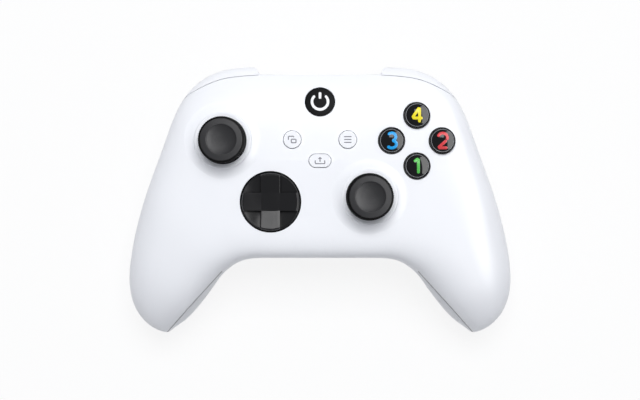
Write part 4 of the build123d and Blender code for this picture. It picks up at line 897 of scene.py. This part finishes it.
def floor_material():
    """Pale floor that the camera and reflections see as near white, and that keeps a light shadow."""
    material, tree, shader, where = new_material("pale_floor")
    shader.inputs["Base Color"].default_value = (0.86, 0.865, 0.88, 1)
    shader.inputs["Roughness"].default_value = 0.9
    glow = tree.nodes.new("ShaderNodeEmission")
    glow.inputs["Strength"].default_value = 1.0
    rays = tree.nodes.new("ShaderNodeLightPath")
    most = rays.outputs["Is Camera Ray"]
    for other in ("Is Glossy Ray", "Is Transmission Ray"):
        greater = tree.nodes.new("ShaderNodeMath")
        greater.operation = "MAXIMUM"
        tree.links.new(most, greater.inputs[0])
        tree.links.new(rays.outputs[other], greater.inputs[1])
        most = greater.outputs["Value"]
    part = tree.nodes.new("ShaderNodeMath")
    part.operation = "MULTIPLY"
    part.inputs[1].default_value = 0.86
    tree.links.new(most, part.inputs[0])
    mix = tree.nodes.new("ShaderNodeMixShader")
    tree.links.new(part.outputs["Value"], mix.inputs["Fac"])
    tree.links.new(shader.outputs["BSDF"], mix.inputs[1])
    tree.links.new(glow.outputs["Emission"], mix.inputs[2])
    out = tree.nodes["Material Output"]
    tree.links.new(mix.outputs["Shader"], out.inputs["Surface"])
    return material


def lamp(name, place, aim, size, power):
    """A rectangular soft lamp at a place, turned to face the aim."""
    data = bpy.data.lights.new(name, "AREA")
    data.shape = "RECTANGLE"
    data.size, data.size_y = size
    data.energy = power
    light = bpy.data.objects.new(name, data)
    bpy.context.scene.collection.objects.link(light)
    light.location = place
    light.rotation_euler = (Vector(place) - Vector(aim)).to_track_quat("Z", "Y").to_euler()
    return light


class CONTROLLER_OT_stage(bpy.types.Operator):
    """Set up the floor, the soft light and the camera above the face"""

    bl_idname = "controller.stage"
    bl_label = "Stage"

    def execute(self, context):
        scene = context.scene
        scene.view_settings.view_transform = "Standard"
        half = FLOOR_HALF
        mesh = bpy.data.meshes.new("floor")
        corners = [(-half, -half, 0), (half, -half, 0), (half, half, 0), (-half, half, 0)]
        mesh.from_pydata(corners, [], [(0, 1, 2, 3)])
        floor = bpy.data.objects.new("floor", mesh)
        scene.collection.objects.link(floor)
        floor.location.z = -FLOOR_DROP
        wear_material(floor, floor_material())

        world = bpy.data.worlds.new("soft_room")
        scene.world = world
        world.use_nodes = True
        tree = world.node_tree
        room = tree.nodes["Background"]
        room.inputs["Color"].default_value = (0.93, 0.95, 1.0, 1)
        room.inputs["Strength"].default_value = ROOM_STRENGTH
        white = tree.nodes.new("ShaderNodeBackground")
        white.inputs["Color"].default_value = (1, 1, 1, 1)
        white.inputs["Strength"].default_value = 1.0
        rays = tree.nodes.new("ShaderNodeLightPath")
        mix = tree.nodes.new("ShaderNodeMixShader")
        tree.links.new(rays.outputs["Is Camera Ray"], mix.inputs["Fac"])
        tree.links.new(room.outputs["Background"], mix.inputs[1])
        tree.links.new(white.outputs["Background"], mix.inputs[2])
        tree.links.new(mix.outputs["Shader"], tree.nodes["World Output"].inputs["Surface"])

        for name, (place, size, power, unseen) in LAMPS.items():
            setattr(lamp(name, place, LAMP_AIM, size, power), unseen, False)

        data = bpy.data.cameras.new("camera")
        data.sensor_width = SENSOR_WIDTH
        data.lens = SENSOR_WIDTH / (FRAME_WIDTH * SLOPE_PER_PIXEL)
        data.clip_start = 0.01
        camera = bpy.data.objects.new("camera", data)
        scene.collection.objects.link(camera)
        camera.location = CAMERA_PLACE
        scene.camera = camera
        return {"FINISHED"}


class CONTROLLER_PT_panel(bpy.types.Panel):
    """Lists the steps that dress the controller"""

    bl_idname = "CONTROLLER_PT_panel"
    bl_label = "Controller"
    bl_space_type = "VIEW_3D"
    bl_region_type = "UI"
    bl_category = "Controller"

    def draw(self, context):
        column = self.layout.column()
        for step in STEPS:
            column.operator(step.bl_idname)
        for group in (context.scene.controller_sizes, context.scene.controller_colours):
            for name in group.bl_rna.properties.keys():
                if name not in ("rna_type", "name"):
                    column.prop(group, name)


STEPS = (
    CONTROLLER_OT_finish_solids,
    CONTROLLER_OT_bumper_ends,
    CONTROLLER_OT_stick_tops,
    CONTROLLER_OT_stick_collars,
    CONTROLLER_OT_button_caps,
    CONTROLLER_OT_direction_pad,
    CONTROLLER_OT_button_numbers,
    CONTROLLER_OT_small_signs,
    CONTROLLER_OT_guide_sign,
    CONTROLLER_OT_stage,
)
CLASSES = (ControllerColours, ControllerSizes, *STEPS, CONTROLLER_PT_panel)


def register():
    for item in CLASSES:
        bpy.utils.register_class(item)
    bpy.types.Scene.controller_colours = bpy.props.PointerProperty(type=ControllerColours)
    bpy.types.Scene.controller_sizes = bpy.props.PointerProperty(type=ControllerSizes)


def unregister():
    del bpy.types.Scene.controller_sizes
    del bpy.types.Scene.controller_colours
    for item in reversed(CLASSES):
        bpy.utils.unregister_class(item)


def main():
    register()
    for step in STEPS:
        group, name = step.bl_idname.split(".")
        getattr(getattr(bpy.ops, group), name)()


if __name__ == "__main__":
    main()
